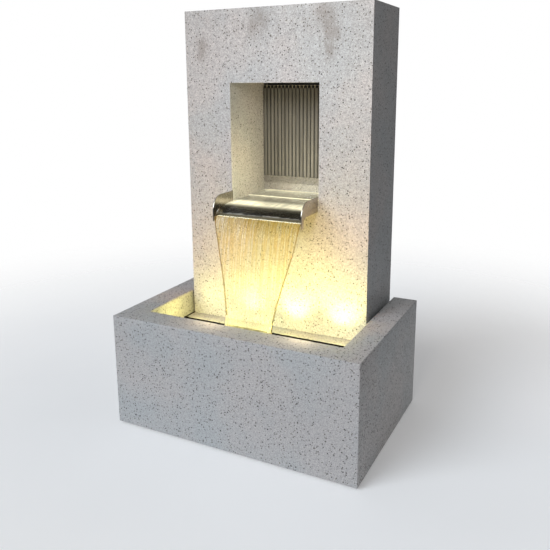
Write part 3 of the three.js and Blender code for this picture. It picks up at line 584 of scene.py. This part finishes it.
def still_water(name, tint=(0.985, 0.98, 0.96), waves=130.0, depth=0.5):
    """Clear water seen through from above: a mirror at glancing angles, with small ripples."""
    s = Shader(name)
    height = s.math("ADD", s.noise(waves, 2.0, 0.5), s.math("MULTIPLY", s.noise(waves * 3.5, 1.0), 0.25))
    clear = s.add("ShaderNodeBsdfTransparent", Color=colour(tint))
    return s.finish(s.shine_over(clear, s.bump(height, depth * MM, 0.5), WATER_IOR, 0.03))


def film_painted_glow(name):
    """The film on the niche floor and the lip. Its glow is painted light, standing in for the lamps' light
    and the lip's bright reflection, most where it starts to curve.
    """
    s = Shader(name)
    y = s.axes()[1]
    streaks = s.noise(1.0, 3.0, 0.6, s.mapped((260.0, 34.0, 60.0)))
    height = s.math("ADD", s.noise(170.0, 2.0, 0.5), s.math("MULTIPLY", streaks, 0.5))
    normal = s.bump(height, 0.25 * MM, 0.4)
    bend = PAN_LOW.y + LIP_CURVE
    # painted glow: strongest where the lip starts to curve, weaker towards the rear, broken up by streaks and
    # patches
    curve = s.band(y, bend - 21 * MM, bend - 8 * MM)
    rear = s.band(y, bend + 1 * MM, bend + 16 * MM, 1.0, 0.2)
    lit = s.math("MULTIPLY", s.math("MULTIPLY", curve, rear), s.band(streaks, 0.25, 0.75, 0.7, 1.2))
    patches = s.noise(1.0, 1.0, 0.5, s.mapped((26.0, 20.0, 20.0)))
    side = s.band(patches, 0.38, 0.62, 0.85, 1.25)
    # a painted dim glow over the film, fading out towards the drip edge
    bronze_painted_light = s.band(y, bend - 30 * MM, bend - 12 * MM, 0.012, 0.13)
    glow = s.add("ShaderNodeEmission", Color=(1.0, 0.93, 0.64, 1.0),
                 Strength=s.math("MULTIPLY_ADD", s.math("MULTIPLY", lit, side), 1.25, bronze_painted_light))
    clear = s.add("ShaderNodeBsdfTransparent", Color=(0.96, 0.96, 0.92, 1.0))
    body = s.tree.nodes.new("ShaderNodeAddShader")
    s.tree.links.new(clear.outputs[0], body.inputs[0])
    s.tree.links.new(glow.outputs[0], body.inputs[1])
    return s.finish(s.shine_over(body, normal, WATER_IOR, 0.06))


def falling_water(name, least, most, low, high):
    """Moving water lit from behind: clear between its streaks, whiter towards its foot, and with a painted
    amber light in its streaks higher up.
    """
    s = Shader(name)
    z = s.axes()[2]
    fine = s.noise(1.0, 3.0, 0.65, s.mapped((520.0, 60.0, 9.0)))
    coarse = s.noise(1.0, 2.0, 0.5, s.mapped((110.0, 30.0, 5.0)))
    streaks = s.math("MULTIPLY", s.band(fine, 0.42, 0.68), s.band(coarse, 0.3, 0.6, 0.35, 1.0))
    foot = s.band(z, low, high, 1.0, 0.0)
    cover = s.math("MULTIPLY_ADD", foot, most - least, least)
    cover = s.math("MULTIPLY_ADD", streaks, 0.1, cover, clamp=True)
    cover = s.math("MULTIPLY", cover, s.band(z, PAN_LOW.z - 22 * MM, PAN_LOW.z - 2 * MM, 1.0, 0.12))
    # painted warm light: the streaks are tinted amber higher up, standing in for the lamps' light in them
    high_up = s.band(z, PAN_LOW.z - 95 * MM, PAN_LOW.z + 5 * MM, 0.05, 0.8)
    amber_painted_light = s.math("MULTIPLY", s.band(fine, 0.4, 0.62), high_up)
    tint = s.mix(amber_painted_light, (0.99, 0.985, 0.95), (0.93, 0.82, 0.50))
    normal = s.bump(s.math("ADD", fine, coarse), 0.6 * MM, 0.6)
    glow = s.add("ShaderNodeBsdfTranslucent", Color=(1.0, 0.96, 0.86, 1.0), Normal=normal)
    white = s.add("ShaderNodeBsdfDiffuse", Color=(0.9, 0.9, 0.86, 1.0), Normal=normal)
    clear = s.add("ShaderNodeBsdfTransparent", Color=tint)
    body = s.blend(cover, clear, s.blend(0.25, glow, white))
    shiny = s.band(z, PAN_LOW.z - 45 * MM, PAN_LOW.z - 8 * MM, 0.45, 0.12)
    return s.finish(s.shine_over(body, normal, WATER_IOR, 0.05, shiny))


def rim_water(name):
    """Clear water of the sheet's thick edges, which bend what is seen through them. Its warm brown tint is
    painted light, standing in for the lamps' glow seen in it.
    """
    s = Shader(name)
    waves = s.noise(1.0, 2.0, 0.5, s.mapped((300.0, 300.0, 60.0)))
    roughness = s.band(waves, 0.3, 0.7, 0.0, 0.06)
    return s.finish(s.principled(Base_Color=(0.6, 0.53, 0.36, 1.0), Roughness=roughness, IOR=WATER_IOR,
                                 Normal=s.bump(waves, 0.4 * MM, 0.4), Transmission_Weight=1.0))


def pale_floor(name):
    """A pale matt floor that fades into the white studio away from the fountain."""
    s = Shader(name)
    cloud = s.noise(3.0, 3.0, 0.5)
    shade = s.mix(s.band(cloud, 0.3, 0.7), (0.82, 0.82, 0.82), (0.85, 0.85, 0.85))
    pale = s.principled(Base_Color=shade, Roughness=0.8, Emission_Color=(1.0, 1.0, 1.0, 1.0),
                        Emission_Strength=0.16)
    away = s.add("ShaderNodeVectorMath", {"operation": "LENGTH"}, Vector=s.place).outputs["Value"]
    clear = s.add("ShaderNodeBsdfTransparent", Color=(1.0, 1.0, 1.0, 1.0))
    return s.finish(s.blend(s.band(away, 0.22, 1.0, 1.0, 0.0), clear, pale))


MATERIAL = {
    "terrazzo": terrazzo("terrazzo", 0.9),
    "terrazzo_wet": terrazzo("terrazzo_wet", 0.43, wet=True),
    "steel": brushed_steel("steel_wet_painted_reflection", wet=True),
    "steel_painted_dim": brushed_steel("steel_painted_dim", along="z"),
    "ribbed_resin": ribbed_resin("ribbed_resin"),
    "rubber": moulded("rubber", (0.012, 0.012, 0.013), (0.035, 0.034, 0.033), 0.62),
    "seal": moulded("seal", (0.003, 0.003, 0.003), (0.007, 0.007, 0.007), 0.8, shine=0.08),
    "grate": moulded("grate", (0.006, 0.006, 0.006), (0.014, 0.014, 0.014), 0.6, shine=0.2),
    "black_plastic": moulded("black_plastic", (0.014, 0.014, 0.015), (0.04, 0.04, 0.04), 0.45),
    "grey_plastic": moulded("grey_plastic", (0.27, 0.275, 0.275), (0.38, 0.38, 0.37), 0.5),
    "cover_board": fibre_board("cover_board"),
    "hardware": plated("hardware"),
    "clear_hose": clear_silicone("clear_hose"),
    "magnet": moulded("magnet", (0.05, 0.05, 0.055), (0.09, 0.09, 0.09), 0.35, depth=0.03),
    "lamp_lens": lamp_lens_clear("lamp_lens"),
    "lamp_board": lit_board("lamp_board"),
    "water": still_water("water"),
    "film": film_painted_glow("water_film_painted_glow"),
    "water_deep": still_water("water_deep", tint=(0.72, 0.82, 0.8), waves=60.0, depth=1.2),
    "falling": falling_water("falling_water", 0.03, 0.09, GRATE_HIGH.z + 10 * MM, PAN_LOW.z),
    "rim": rim_water("water_rim"),
    "foam": falling_water("foam", 0.6, 0.8, GRATE_HIGH.z, GRATE_HIGH.z + 30 * MM),
}


# -------- pieces whose CAD shape only needs finer edges
# Each node's radius of its rounded edges, in millimetres
EDGE_RADIUS = dict(
    basin_shell=0.9, tower_shell=0.7, deck_plate=0.6, trough_grate=0.35, gap_seal_left=0.6,
    gap_seal_right=0.6, deck_edge_seal=0.4, rear_cover=0.3, cable_grommet=0.35, slot_seal=0.3,
    header_box=0.5, header_lid=0.5, pump_motor=0.8, pump_volute=0.6, pump_intake_cover=0.5,
    pump_flow_dial=0.4, pump_impeller=0.12, pump_shaft=0.15, pump_seal_ring=0.2, pump_cup_front_left=0.15,
    pump_cup_front_right=0.15, pump_cup_rear_left=0.15, pump_cup_rear_right=0.15, hose_clip_lower=0.25,
    hose_clip_upper=0.25, lamp_housing=0.25, lamp_board=0.1, lamp_lens=0.2, lamp_end_cap_left=0.5,
    lamp_end_cap_right=0.5, lamp_bracket_left=0.35, lamp_bracket_right=0.35, anchor_bracket_left=0.3,
    anchor_bracket_right=0.3, junction_box=1.2,
)

# A node's own material, where its slot's usual one doesn't fit
SPECIAL_LOOK = {
    "tower_shell": "terrazzo_wet",
    "trough_grate": "grate",
    "gap_seal_left": "seal",
    "gap_seal_right": "seal",
    "deck_edge_seal": "seal",
}


def soft_well_rim(obj, radius, soft_radius):
    """Rounds the basin's edges by the radius, and the inner edge of its rim by the softer one."""
    form = bmesh.new()
    form.from_mesh(obj.data)
    weight = form.edges.layers.float.new("bevel_weight_edge")
    for edge in form.edges:
        if edge.calc_face_angle(0.0) < math.radians(40):
            continue
        ends = [vertex.co for vertex in edge.verts]
        on_rim = all(abs(co.z - BASIN_HIGH.z) < 0.1 * MM for co in ends)
        inner = all(abs(co.x) < BASIN_HIGH.x - 1 * MM and co.y > BASIN_LOW.y + 1 * MM for co in ends)
        edge[weight] = 1.0 if on_rim and inner else radius / soft_radius
    form.to_mesh(obj.data)
    form.free()
    modify(obj, "BEVEL", width=soft_radius, segments=4, limit_method="WEIGHT")
    return smooth(obj, 50)


def make_refined():
    for node, radius in EDGE_RADIUS.items():
        if node == "basin_shell":
            piece = soft_well_rim(object_from(node + "_fine", solid_of(node)), radius * MM, 2.2 * MM)
        else:
            piece = round_edges(object_from(node + "_fine", solid_of(node)), radius * MM)
        dress_node(piece, node, SPECIAL_LOOK.get(node))


# -------- hose and leads, round where the CAD is faceted
def make_soft_tubes():
    for node in ("riser_hose", "pump_lead", "lamp_lead"):
        form = bmesh.new()
        form.from_mesh(frame["nodes"][node].data)
        bmesh.ops.remove_doubles(form, verts=form.verts, dist=0.002 * MM)
        bmesh.ops.join_triangles(form, faces=form.faces, angle_face_threshold=math.radians(20),
                                 angle_shape_threshold=math.radians(180))
        crease = form.edges.layers.float.new("crease_edge")
        for edge in form.edges:
            edge[crease] = 1.0 if edge.calc_face_angle(0.0) > math.radians(60) else 0.0
        tube = object_from(node + "_fine", form)
        modify(tube, "SUBSURF", levels=1)
        smooth(tube, 60)
        dress_node(tube, node)


# -------- feet and screws
def make_feet():
    for node in ("foot_front_left", "foot_front_right", "foot_rear_left", "foot_rear_right"):
        low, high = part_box(node)
        radius = (high.x - low.x) / 2
        height = high.z - low.z
        groove = 0.35 * MM
        profile = [(0, 0), (radius * 0.3, 0), (radius * 0.34, groove), (radius * 0.42, groove)]
        profile += [(radius * 0.46, 0), (radius * 0.66, 0), (radius * 0.7, groove), (radius * 0.78, groove)]
        profile += [(radius * 0.82, 0), (radius - 0.5 * MM, 0), (radius - 0.15 * MM, 0.15 * MM)]
        profile += [(radius, 0.5 * MM), (radius, height - 0.3 * MM), (radius - 0.3 * MM, height), (0, height)]
        foot = lathe(node + "_fine", profile, 48)
        foot.data.transform(Matrix.Translation(((low.x + high.x) / 2, (low.y + high.y) / 2, low.z)))
        smooth(foot, 35)
        dress_node(foot, node)


def cross_headed_screw(name, head, shank, length, rise):
    """A pan-head screw with a cross recess and threads, its head's underside at z = 0."""
    profile = [(0, -length), (shank * 0.35, -length + 0.5 * MM)]
    turns = 9
    for i in range(turns):
        z = -length + 1.2 * MM + i * (length - 1.6 * MM) / turns
        profile += [(shank * 0.72, z), (shank, z + 0.3 * MM), (shank * 0.72, z + 0.6 * MM)]
    profile += [(shank * 0.8, 0), (head - 0.1 * MM, 0), (head, 0.15 * MM), (head, rise * 0.45)]
    for i in range(1, 7):
        turn = math.radians(15 * i)
        profile.append((head * math.cos(turn), rise * (0.45 + 0.55 * math.sin(turn))))
    profile[-1] = (0, rise)
    screw = lathe(name, profile, 28)
    arm, width, depth = head * 0.56, head * 0.2, rise * 0.75
    for turned in (0, 1):
        form = bmesh.new()
        bmesh.ops.create_cube(form, size=1)
        size = (2 * arm, width, depth * 2) if turned else (width, 2 * arm, depth * 2)
        bmesh.ops.scale(form, vec=size, verts=form.verts)
        bmesh.ops.translate(form, vec=(0, 0, rise), verts=form.verts)
        cutter = object_from("recess", form)
        modify(screw, "BOOLEAN", object=cutter, operation="DIFFERENCE")
        bpy.data.objects.remove(cutter)
    return smooth(screw, 30)


def make_screws():
    for node in [n for n in frame["nodes"] if "_screw_" in n]:
        low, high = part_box(node)
        facing_back = node.startswith("rear_cover")
        span = high - low
        head = span.x / 2
        length, rise = (span.y if facing_back else span.z) - 1.2 * MM, 1.2 * MM
        screw = cross_headed_screw(node + "_fine", head, head / 2, length, rise)
        middle = (low + high) / 2
        if facing_back:
            screw.data.transform(Matrix.Rotation(math.radians(-90), 4, "X"))
            screw.data.transform(Matrix.Translation((middle.x, high.y - rise, middle.z)))
        else:
            screw.data.transform(Matrix.Translation((middle.x, middle.y, high.z - rise)))
        dress_node(screw, node)


# -------- ribbed panel
def make_ribbed_panel():
    """Half-round ribs with domed tops, standing on a flat back."""
    base = PANEL_LOW.y + RIB_RADIUS
    half = PANEL_HIGH.x
    pitch = 2 * half / RIB_COUNT
    steps = 12
    shoulder = PANEL_HIGH.z - RIB_RADIUS - 0.3 * MM
    levels = [(PANEL_LOW.z, 0.93), (PANEL_LOW.z + 0.3 * MM, 1.0)]
    levels += [(PANEL_LOW.z + (shoulder - PANEL_LOW.z) * i / 30, 1.0) for i in range(1, 31)]
    for i in range(1, 8):
        turn = math.radians(88 * i / 7)
        levels.append((shoulder + RIB_RADIUS * math.sin(turn), math.cos(turn)))
    levels.append((PANEL_HIGH.z, 0.0))
    front, back = [], []
    for z, scale in levels:
        row = [(-half, base, z)]
        for i in range(RIB_COUNT):
            centre = -half + (i + 0.5) * pitch
            for j in range(steps + 1):
                turn = math.pi * (1 - j / steps)
                radius = RIB_RADIUS * scale
                worn = 0.05 * MM * ripple(centre, j * 0.01, z, 60.0) * scale
                row.append((centre + radius * math.cos(turn), base - (radius + worn) * math.sin(turn), z))
        row.append((half, base, z))
        front.append(row)
        back.append([(x, PANEL_HIGH.y, z) for x, _, _ in row])
    panel = shell_of_rows("ribbed_panel_fine", front, back)
    drop_slivers(panel)
    smooth(panel, 40)
    dress_node(panel, "ribbed_panel")


def drop_slivers(obj):
    """Removes zero-size edges and faces."""
    form = bmesh.new()
    form.from_mesh(obj.data)
    bmesh.ops.remove_doubles(form, verts=form.verts, dist=0.004 * MM)
    bmesh.ops.dissolve_degenerate(form, dist=0.002 * MM, edges=form.edges)
    bmesh.ops.recalc_face_normals(form, faces=form.faces)
    form.to_mesh(obj.data)
    form.free()


# -------- spillway
def lip_line(offset, steps=28):
    """(y, z) points along the pan from its rear edge to its drip edge, moved outwards by the offset."""
    centre = PAN_LOW.y + LIP_CURVE
    last = math.acos((PAN_LOW.z - PAN_HIGH.z + LIP_DROP) / LIP_DROP)
    points = [(PAN_HIGH.y, PAN_HIGH.z + offset)]
    for i in range(steps + 1):
        turn = last * i / steps
        y = centre - (LIP_CURVE + offset) * math.sin(turn)
        points.append((y, PAN_HIGH.z - LIP_DROP + (LIP_DROP + offset) * math.cos(turn)))
    return points


def make_spillway():
    upper = lip_line(0.0)
    lower = lip_line(-STEEL)
    (ya, za), (yb, zb) = upper[-1], lower[-1]
    middle = ((ya + yb) / 2, (za + zb) / 2)
    start = math.degrees(math.atan2(za - middle[1], ya - middle[0]))
    hem = arc(middle, STEEL / 2 * 1.02, start, start + 180, 8)[1:-1]
    hem = [(max(y, PAN_LOW.y), max(z, PAN_LOW.z)) for y, z in hem]
    pan = prism("spillway_pan_fine", [*upper, *hem, *reversed(lower)], PAN_LOW.x, PAN_HIGH.x)
    round_edges(pan, 0.18 * MM, 2, 50)
    dress_node(pan, "spillway_pan")
    for node in ("spillway_cheek_left", "spillway_cheek_right"):
        low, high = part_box(node)
        cheek = prism(node + "_fine", cheek_outline(low, high), low.x, high.x)
        round_edges(cheek, 0.25 * MM, 2, 40)
        dress_node(cheek, node, "steel_painted_dim")


def cheek_outline(low, high):
    """A side plate with a round front corner and a narrow tail at the drip edge."""
    tail = low.y + TAIL_WIDTH
    points = [(high.y, CHEEK_BOTTOM), (high.y, high.z)]
    points += arc((low.y + CHEEK_ROUND, high.z - CHEEK_ROUND), CHEEK_ROUND, 90, 180, 24)
    points += [(low.y, low.z), (tail, low.z)]
    points += arc((tail + TAIL_ROUND, CHEEK_BOTTOM - TAIL_ROUND), TAIL_ROUND, 180, 90, 12)
    return points


# -------- water
def dress_water(piece, look, body="root", angle=60):
    """Smooths a piece of water and gives it one of the water materials."""
    smooth(piece, angle)
    return dress(piece, look, body)


def make_run_water():
    """The film over the niche floor, the pan and the lip, one piece from the sill to the drip edge."""
    thick = 0.7 * MM
    columns = 60
    floor_half, pan_half = NICHE_HALF - 0.2 * MM, PAN_HIGH.x - 0.1 * MM
    line = [(SILL_FRONT - 0.2 * MM - i * 1.6 * MM, NICHE_FLOOR + 0.05 * MM) for i in range(26)]
    line = [(y, z) for y, z in line if y > PAN_HIGH.y + 0.5 * MM]
    for i in range(4):
        line.append((PAN_HIGH.y - i * 0.6 * MM, PAN_HIGH.z + 1.5 * MM * (1 - i / 3) ** 2 + 0.05 * MM))
    curve = lip_line(0.05 * MM, 30)[1:]
    flat = [(PAN_HIGH.y - 2.4 * MM - i * 1.7 * MM, PAN_HIGH.z + 0.05 * MM) for i in range(27)]
    line += [(y, z) for y, z in flat if y > curve[0][0] + 1 * MM] + curve

    def pair(i, c):
        y, z = line[i]
        before, after = line[max(i - 1, 0)], line[min(i + 1, len(line) - 1)]
        along = Vector((0, after[0] - before[0], after[1] - before[1])).normalized()
        out = Vector((0, along.z, -along.y))
        half = floor_half if y > TOWER_LOW.y else pan_half
        x = -half + 2 * half * c / columns
        edge = min(1.0, min(c, columns - c) / 3)
        wave = 0.22 * MM * ripple(x, y, 0, 90.0) + 0.1 * MM * ripple(x, y, 0, 260.0, 5.0)
        place = Vector((x, y, z))
        return place + out * (thick * (0.25 + 0.75 * edge) + wave * edge), place

    dress_water(shell_from("water_run", len(line) - 1, columns, pair), "film")


def sheet_half(u, side):
    """Half the falling sheet's width at a share u of its drop. The two edges close in differently."""
    if side < 0:
        share = (1 - u) ** 1.95
    else:
        share = 0.5 * (1 + math.cos(math.pi * min(1.0, u) ** 0.88))
    top = PAN_HIGH.x - 0.4 * MM
    return side * (SHEET_FOOT + (top - SHEET_FOOT) * share)


SHEET_TOP = PAN_LOW.z + 0.2 * MM
SHEET_END = GRATE_HIGH.z + 0.8 * MM


def sheet_centre(u):
    """(y, z) on the falling sheet at a share u of its drop, thrown forward as it falls."""
    z = SHEET_TOP + (SHEET_END - SHEET_TOP) * u
    fall = math.sqrt(2 * max(0.0, SHEET_TOP - z) / GRAVITY)
    return PAN_LOW.y + 0.3 * MM - LIP_SPEED * fall, z


def squash_to_lip(piece):
    """Gives the falling water its own copy of its mesh."""
    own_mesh(piece)


def make_falling_sheet():
    columns, rows = 96, 70

    def pair(r, c):
        u, v = (r / rows) ** 1.15, c / columns
        y, z = sheet_centre(u)
        left, right = sheet_half(u, -1), sheet_half(u, 1)
        x = left + (right - left) * v
        edge = min(1.0, min(v, 1 - v) / 0.035)
        streak = ripple(v * 0.11, 0, z * 0.06, 420.0) + 0.6 * ripple(v * 0.11, 0.5, z * 0.04, 170.0)
        grow = min(1.0, u / 0.12)
        half_thick = (0.35 + 0.14 * streak * grow) * MM * (0.35 + 0.65 * edge)
        sway = 0.5 * MM * grow * ripple(x, 0.3, z * 0.3, 45.0) + 0.25 * MM * grow * streak
        return (x, y + sway - half_thick, z), (x, y + sway + half_thick, z)

    squash_to_lip(dress_water(shell_from("water_sheet", rows, columns, pair), "falling", angle=70))


def make_sheet_rims():
    """The thicker rounded edges that surface tension draws at both sides of the sheet."""
    for name, side in (("left", -1), ("right", 1)):
        path, radii = [], []
        steps = 60
        for i in range(steps + 1):
            u = i / steps
            y, z = sheet_centre(u)
            wobble = 0.35 * MM * ripple(side * 0.05, 0, z, 70.0) * min(1.0, u / 0.15)
            path.append(Vector((sheet_half(u, side) + wobble, y, z)))
            bead = 1.0 + 0.25 * ripple(side * 0.3, 0.2, z, 160.0)
            foot = max(0.0, (u - 0.74) / 0.26) ** 1.5
            radii.append((0.5 + 0.6 * u + 1.7 * foot) * MM * bead)
        squash_to_lip(dress_water(tube_along(f"water_rim_{name}", path, radii), "rim", angle=70))


def make_splashes():
    """Crowns of drops and curls where the two edges of the sheet strike the grate."""
    shuffle = random.Random(11)
    foot_y, foot_z = sheet_centre(1.0)
    for name, side in (("left", -1), ("right", 1)):
        foot_x = sheet_half(1.0, side)
        form = bmesh.new()
        for _ in range(70):
            reach = shuffle.random()
            turn = shuffle.uniform(0, 2 * math.pi)
            away = 0.8 * MM + 7.5 * MM * reach
            high = 1.5 * MM + 33 * MM * (1 - reach) ** 1.1 * shuffle.uniform(0.3, 1.0)
            size = (1.9 - 1.2 * reach) * MM * shuffle.uniform(0.5, 1.0)
            middle = (foot_x + away * math.cos(turn) * 0.6, foot_y + away * math.sin(turn), foot_z + high)
            longer = Matrix.Diagonal((1, 1, shuffle.uniform(1.2, 3.2), 1))
            place = Matrix.Translation(middle) @ longer
            bmesh.ops.create_icosphere(form, subdivisions=2, radius=size, matrix=place)
        low = foot_z + 0.4 * MM
        for vertex in form.verts:
            vertex.co.z = max(vertex.co.z, low)
        splash = object_from(f"water_splash_{name}", form)
        modify(splash, "REMESH", mode="VOXEL", voxel_size=0.45 * MM)
        modify(splash, "SMOOTH", factor=0.5, iterations=3)
        dress_water(splash, "foam", "grate", 80)


def make_landing():
    """The wet patch and low froth on the grate between the sheet's feet."""
    foot_y = sheet_centre(1.0)[0]
    columns, rows = 70, 16

    def pair(r, c):
        x = (c / columns - 0.5) * 2 * (SHEET_FOOT + 9 * MM)
        y = foot_y + (r / rows - 0.5) * 17 * MM
        fade = math.sin(math.pi * r / rows) * min(1.0, min(c, columns - c) / 8)
        froth = 0.5 + 0.5 * ripple(x, y, 0, 330.0) + 0.3 * ripple(x, y, 0, 900.0)
        high = GRATE_HIGH.z + (0.15 + 1.5 * fade * max(0.0, froth)) * MM
        return (x, y, high), (x, y, GRATE_HIGH.z + 0.05 * MM)

    dress_water(shell_from("water_landing", rows, columns, pair), "foam", "grate", 70)


def make_reservoir_water():
    """The water's surface inside the basin, around the pump's hose."""
    half, front, back = 110.8 * MM, BASIN_LOW.y + 38.8 * MM, BASIN_HIGH.y - 10.3 * MM
    columns, rows = 70, 50

    def pair(r, c):
        x, y = -half + 2 * half * c / columns, front + (back - front) * r / rows
        return (x, y, WATER_LEVEL + 0.6 * MM * ripple(x, y, 0, 45.0)), (x, y, WATER_LEVEL - 1.5 * MM)

    dress_water(shell_from("water_reservoir", rows, columns, pair), "water_deep")


def make_rivulets():
    """Thin runs of water in some of the grooves between the ribs."""
    shuffle = random.Random(4)
    half = PANEL_HIGH.x
    pitch = 2 * half / RIB_COUNT
    form = bmesh.new()
    y = PANEL_LOW.y + RIB_RADIUS - 0.35 * MM
    for i in range(1, RIB_COUNT):
        if shuffle.random() < 0.35:
            continue
        x = -half + i * pitch
        top = PANEL_HIGH.z - shuffle.uniform(3, 30) * MM
        rows = 40
        rings = []
        for r in range(rows + 1):
            z = top + (PANEL_LOW.z - top) * r / rows
            swell = 0.32 * MM + 0.2 * MM * ripple(x, i, z, 90.0)
            taper = math.sin(math.pi * min(1.0, (r + 0.5) / 6) / 2)
            radius = swell * taper
            ring = []
            for k in range(8):
                turn = 2 * math.pi * k / 8
                ring.append(form.verts.new((x + radius * math.cos(turn), y - radius * math.sin(turn), z)))
            rings.append(ring)
        join_rings(form, rings)
    dress_water(object_from("water_rivulets", form), "water", angle=70)


def make_sill_water():
    """A wavy film running down the stone sill under the ribbed panel."""
    columns, rows = 110, 14
    half = NICHE_HALF - 0.3 * MM
    low, high = NICHE_FLOOR + 0.9 * MM, PANEL_LOW.z - 0.5 * MM
    rear = SILL_FRONT - 0.1 * MM

    def pair(r, c):
        x, z = -half + 2 * half * c / columns, high + (low - high) * r / rows
        thick = 0.35 * MM + 0.2 * MM * ripple(x, 0, z * 0.12, 380.0)
        return (x, rear - max(0.06 * MM, thick), z), (x, rear, z)

    dress_water(shell_from("water_sill", rows, columns, pair), "water")


# -------- stage, lights and camera
def make_floor():
    form = bmesh.new()
    bmesh.ops.create_grid(form, x_segments=8, y_segments=8, size=30.0)
    floor = object_from("floor", form)
    floor.location.z = CAD_BOUNDS[0][2] - 0.2 * MM
    floor.data.materials.append(pale_floor("pale_floor"))


def make_world():
    """White to the camera. To everything else a dim sky, brighter overhead."""
    s = Shader("studio", world=True)
    strength = s.add("ShaderNodeMapRange", Value=s.axes()[2], From_Min=0.0, From_Max=0.9, To_Min=0.14,
                     To_Max=0.42)
    dim = s.add("ShaderNodeBackground", Color=(0.97, 0.98, 1.0, 1.0), Strength=strength.outputs[0])
    white = s.add("ShaderNodeBackground", Color=(1.0, 1.0, 1.0, 1.0), Strength=1.0)
    seen = s.add("ShaderNodeLightPath").outputs["Is Camera Ray"]
    bpy.context.scene.world = s.finish(s.blend(seen, dim, white))


def make_light(name, kind, energy, tint, place, aim, glossy=True, **settings):
    data = bpy.data.lights.new(name, kind)
    data.energy = energy
    data.color = tint
    for key, value in settings.items():
        setattr(data, key, value)
    light = new_object(name, data)
    light.location = place
    light.rotation_euler = (Vector(aim) - Vector(place)).to_track_quat("-Z", "Y").to_euler()
    light.visible_camera = False
    light.visible_glossy = glossy
    return light


def make_studio_lights():
    make_light("key", "SUN", 2.25, (0.88, 0.95, 1.03), (-0.45, -0.8, 0.55), (0, 0, 0), angle=math.radians(40))
    make_light("front", "AREA", 0.54, (1.0, 0.92, 0.85), (0.15, -0.6, 0.62), (0.05, 0.0, 0.46), size=0.2,
               spread=math.radians(70), glossy=False)


LAMP_GLOW = (1.0, 0.88, 0.25)
SPREAD_GLOW = (1.0, 0.91, 0.30)
LAMP_POWER = (0.13, 0.50, 0.74, 0.72)


def make_lamp_lights():
    """Four upward beams that tilt with the lamp bar, and their light scattered by the spray and the mist."""
    y = (LENS_LOW.y + LENS_HIGH.y) / 2
    z = LENS_HIGH.z + 1.0 * MM
    for i, power in enumerate(LAMP_POWER):
        x = (i - 1.5) * LAMP_SPACING
        aim = (x, TOWER_LOW.y, z + 76 * MM)
        beam = make_light(f"emitter_{i + 1}", "SPOT", power, LAMP_GLOW, (x, y, z), aim,
                          spot_size=math.radians(90), spot_blend=1.0, shadow_soft_size=3 * MM)
        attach(beam, "lamp_bar")
        place = (x, y - 12 * MM, z + 17 * MM)
        spread = make_light(f"spread_{i + 1}", "POINT", 0.085, SPREAD_GLOW, place, (x, y, 1), glossy=False,
                            shadow_soft_size=4 * MM)
        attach(spread, "lamp_bar")
    for name, side in (("left", -1), ("right", 1)):
        place = (side * 90 * MM, PAN_LOW.y - 48 * MM, 0.2)
        aim = (place[0], TOWER_LOW.y, 0.215)
        haze = make_light(f"haze_{name}", "SPOT", 0.13, (1.0, 0.30, 0.03), place, aim, glossy=False,
                          spot_size=math.radians(150), spot_blend=0.5, shadow_soft_size=12 * MM)
        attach(haze, "root")
        place = (20 * MM + side * 55 * MM, -70 * MM, BASIN_HIGH.z + 17 * MM)
        spray = make_light(f"spray_{name}", "POINT", 0.034, (1.0, 0.76, 0.46), place, (0, 0, 1), glossy=False,
                           shadow_soft_size=10 * MM)
        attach(spray, "root")


def make_niche_glow():
    """Lamp light that the falling water scatters up and back into the niche."""
    place = (14 * MM, 25 * MM, PAN_HIGH.z + 36 * MM)
    glow = make_light("niche_glow", "POINT", 0.22, (1.0, 0.87, 0.52), place, (0, 0.09, 0.30), glossy=False,
                      shadow_soft_size=12 * MM)
    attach(glow, "root")


def make_camera():
    """Seen from the front right and a little above, with a slight downward shift of the frame."""
    data = bpy.data.cameras.new("camera")
    data.sensor_width = 36.0
    data.lens = 42.13
    data.shift_y = -0.091
    data.clip_start = 0.01
    data.dof.use_dof = False
    camera = new_object("camera", data)
    turn, pitch, roll = 26.99, -12.42, -0.36
    place = Vector((335.65, -643.09, 395.02)) * MM
    facing = Matrix.Rotation(math.radians(turn), 4, "Z")
    facing @= Matrix.Rotation(math.radians(90 + pitch), 4, "X")
    facing @= Matrix.Rotation(math.radians(roll), 4, "Z")
    camera.matrix_world = Matrix.Translation(place) @ facing
    bpy.context.scene.camera = camera


make_camera()
make_refined()
make_soft_tubes()
make_feet()
make_screws()
make_ribbed_panel()
make_spillway()
make_run_water()
make_falling_sheet()
make_sheet_rims()
make_splashes()
make_landing()
make_reservoir_water()
make_rivulets()
make_sill_water()
make_floor()
make_world()
make_studio_lights()
make_lamp_lights()
make_niche_glow()
bpy.context.scene.view_settings.view_transform = "Standard"
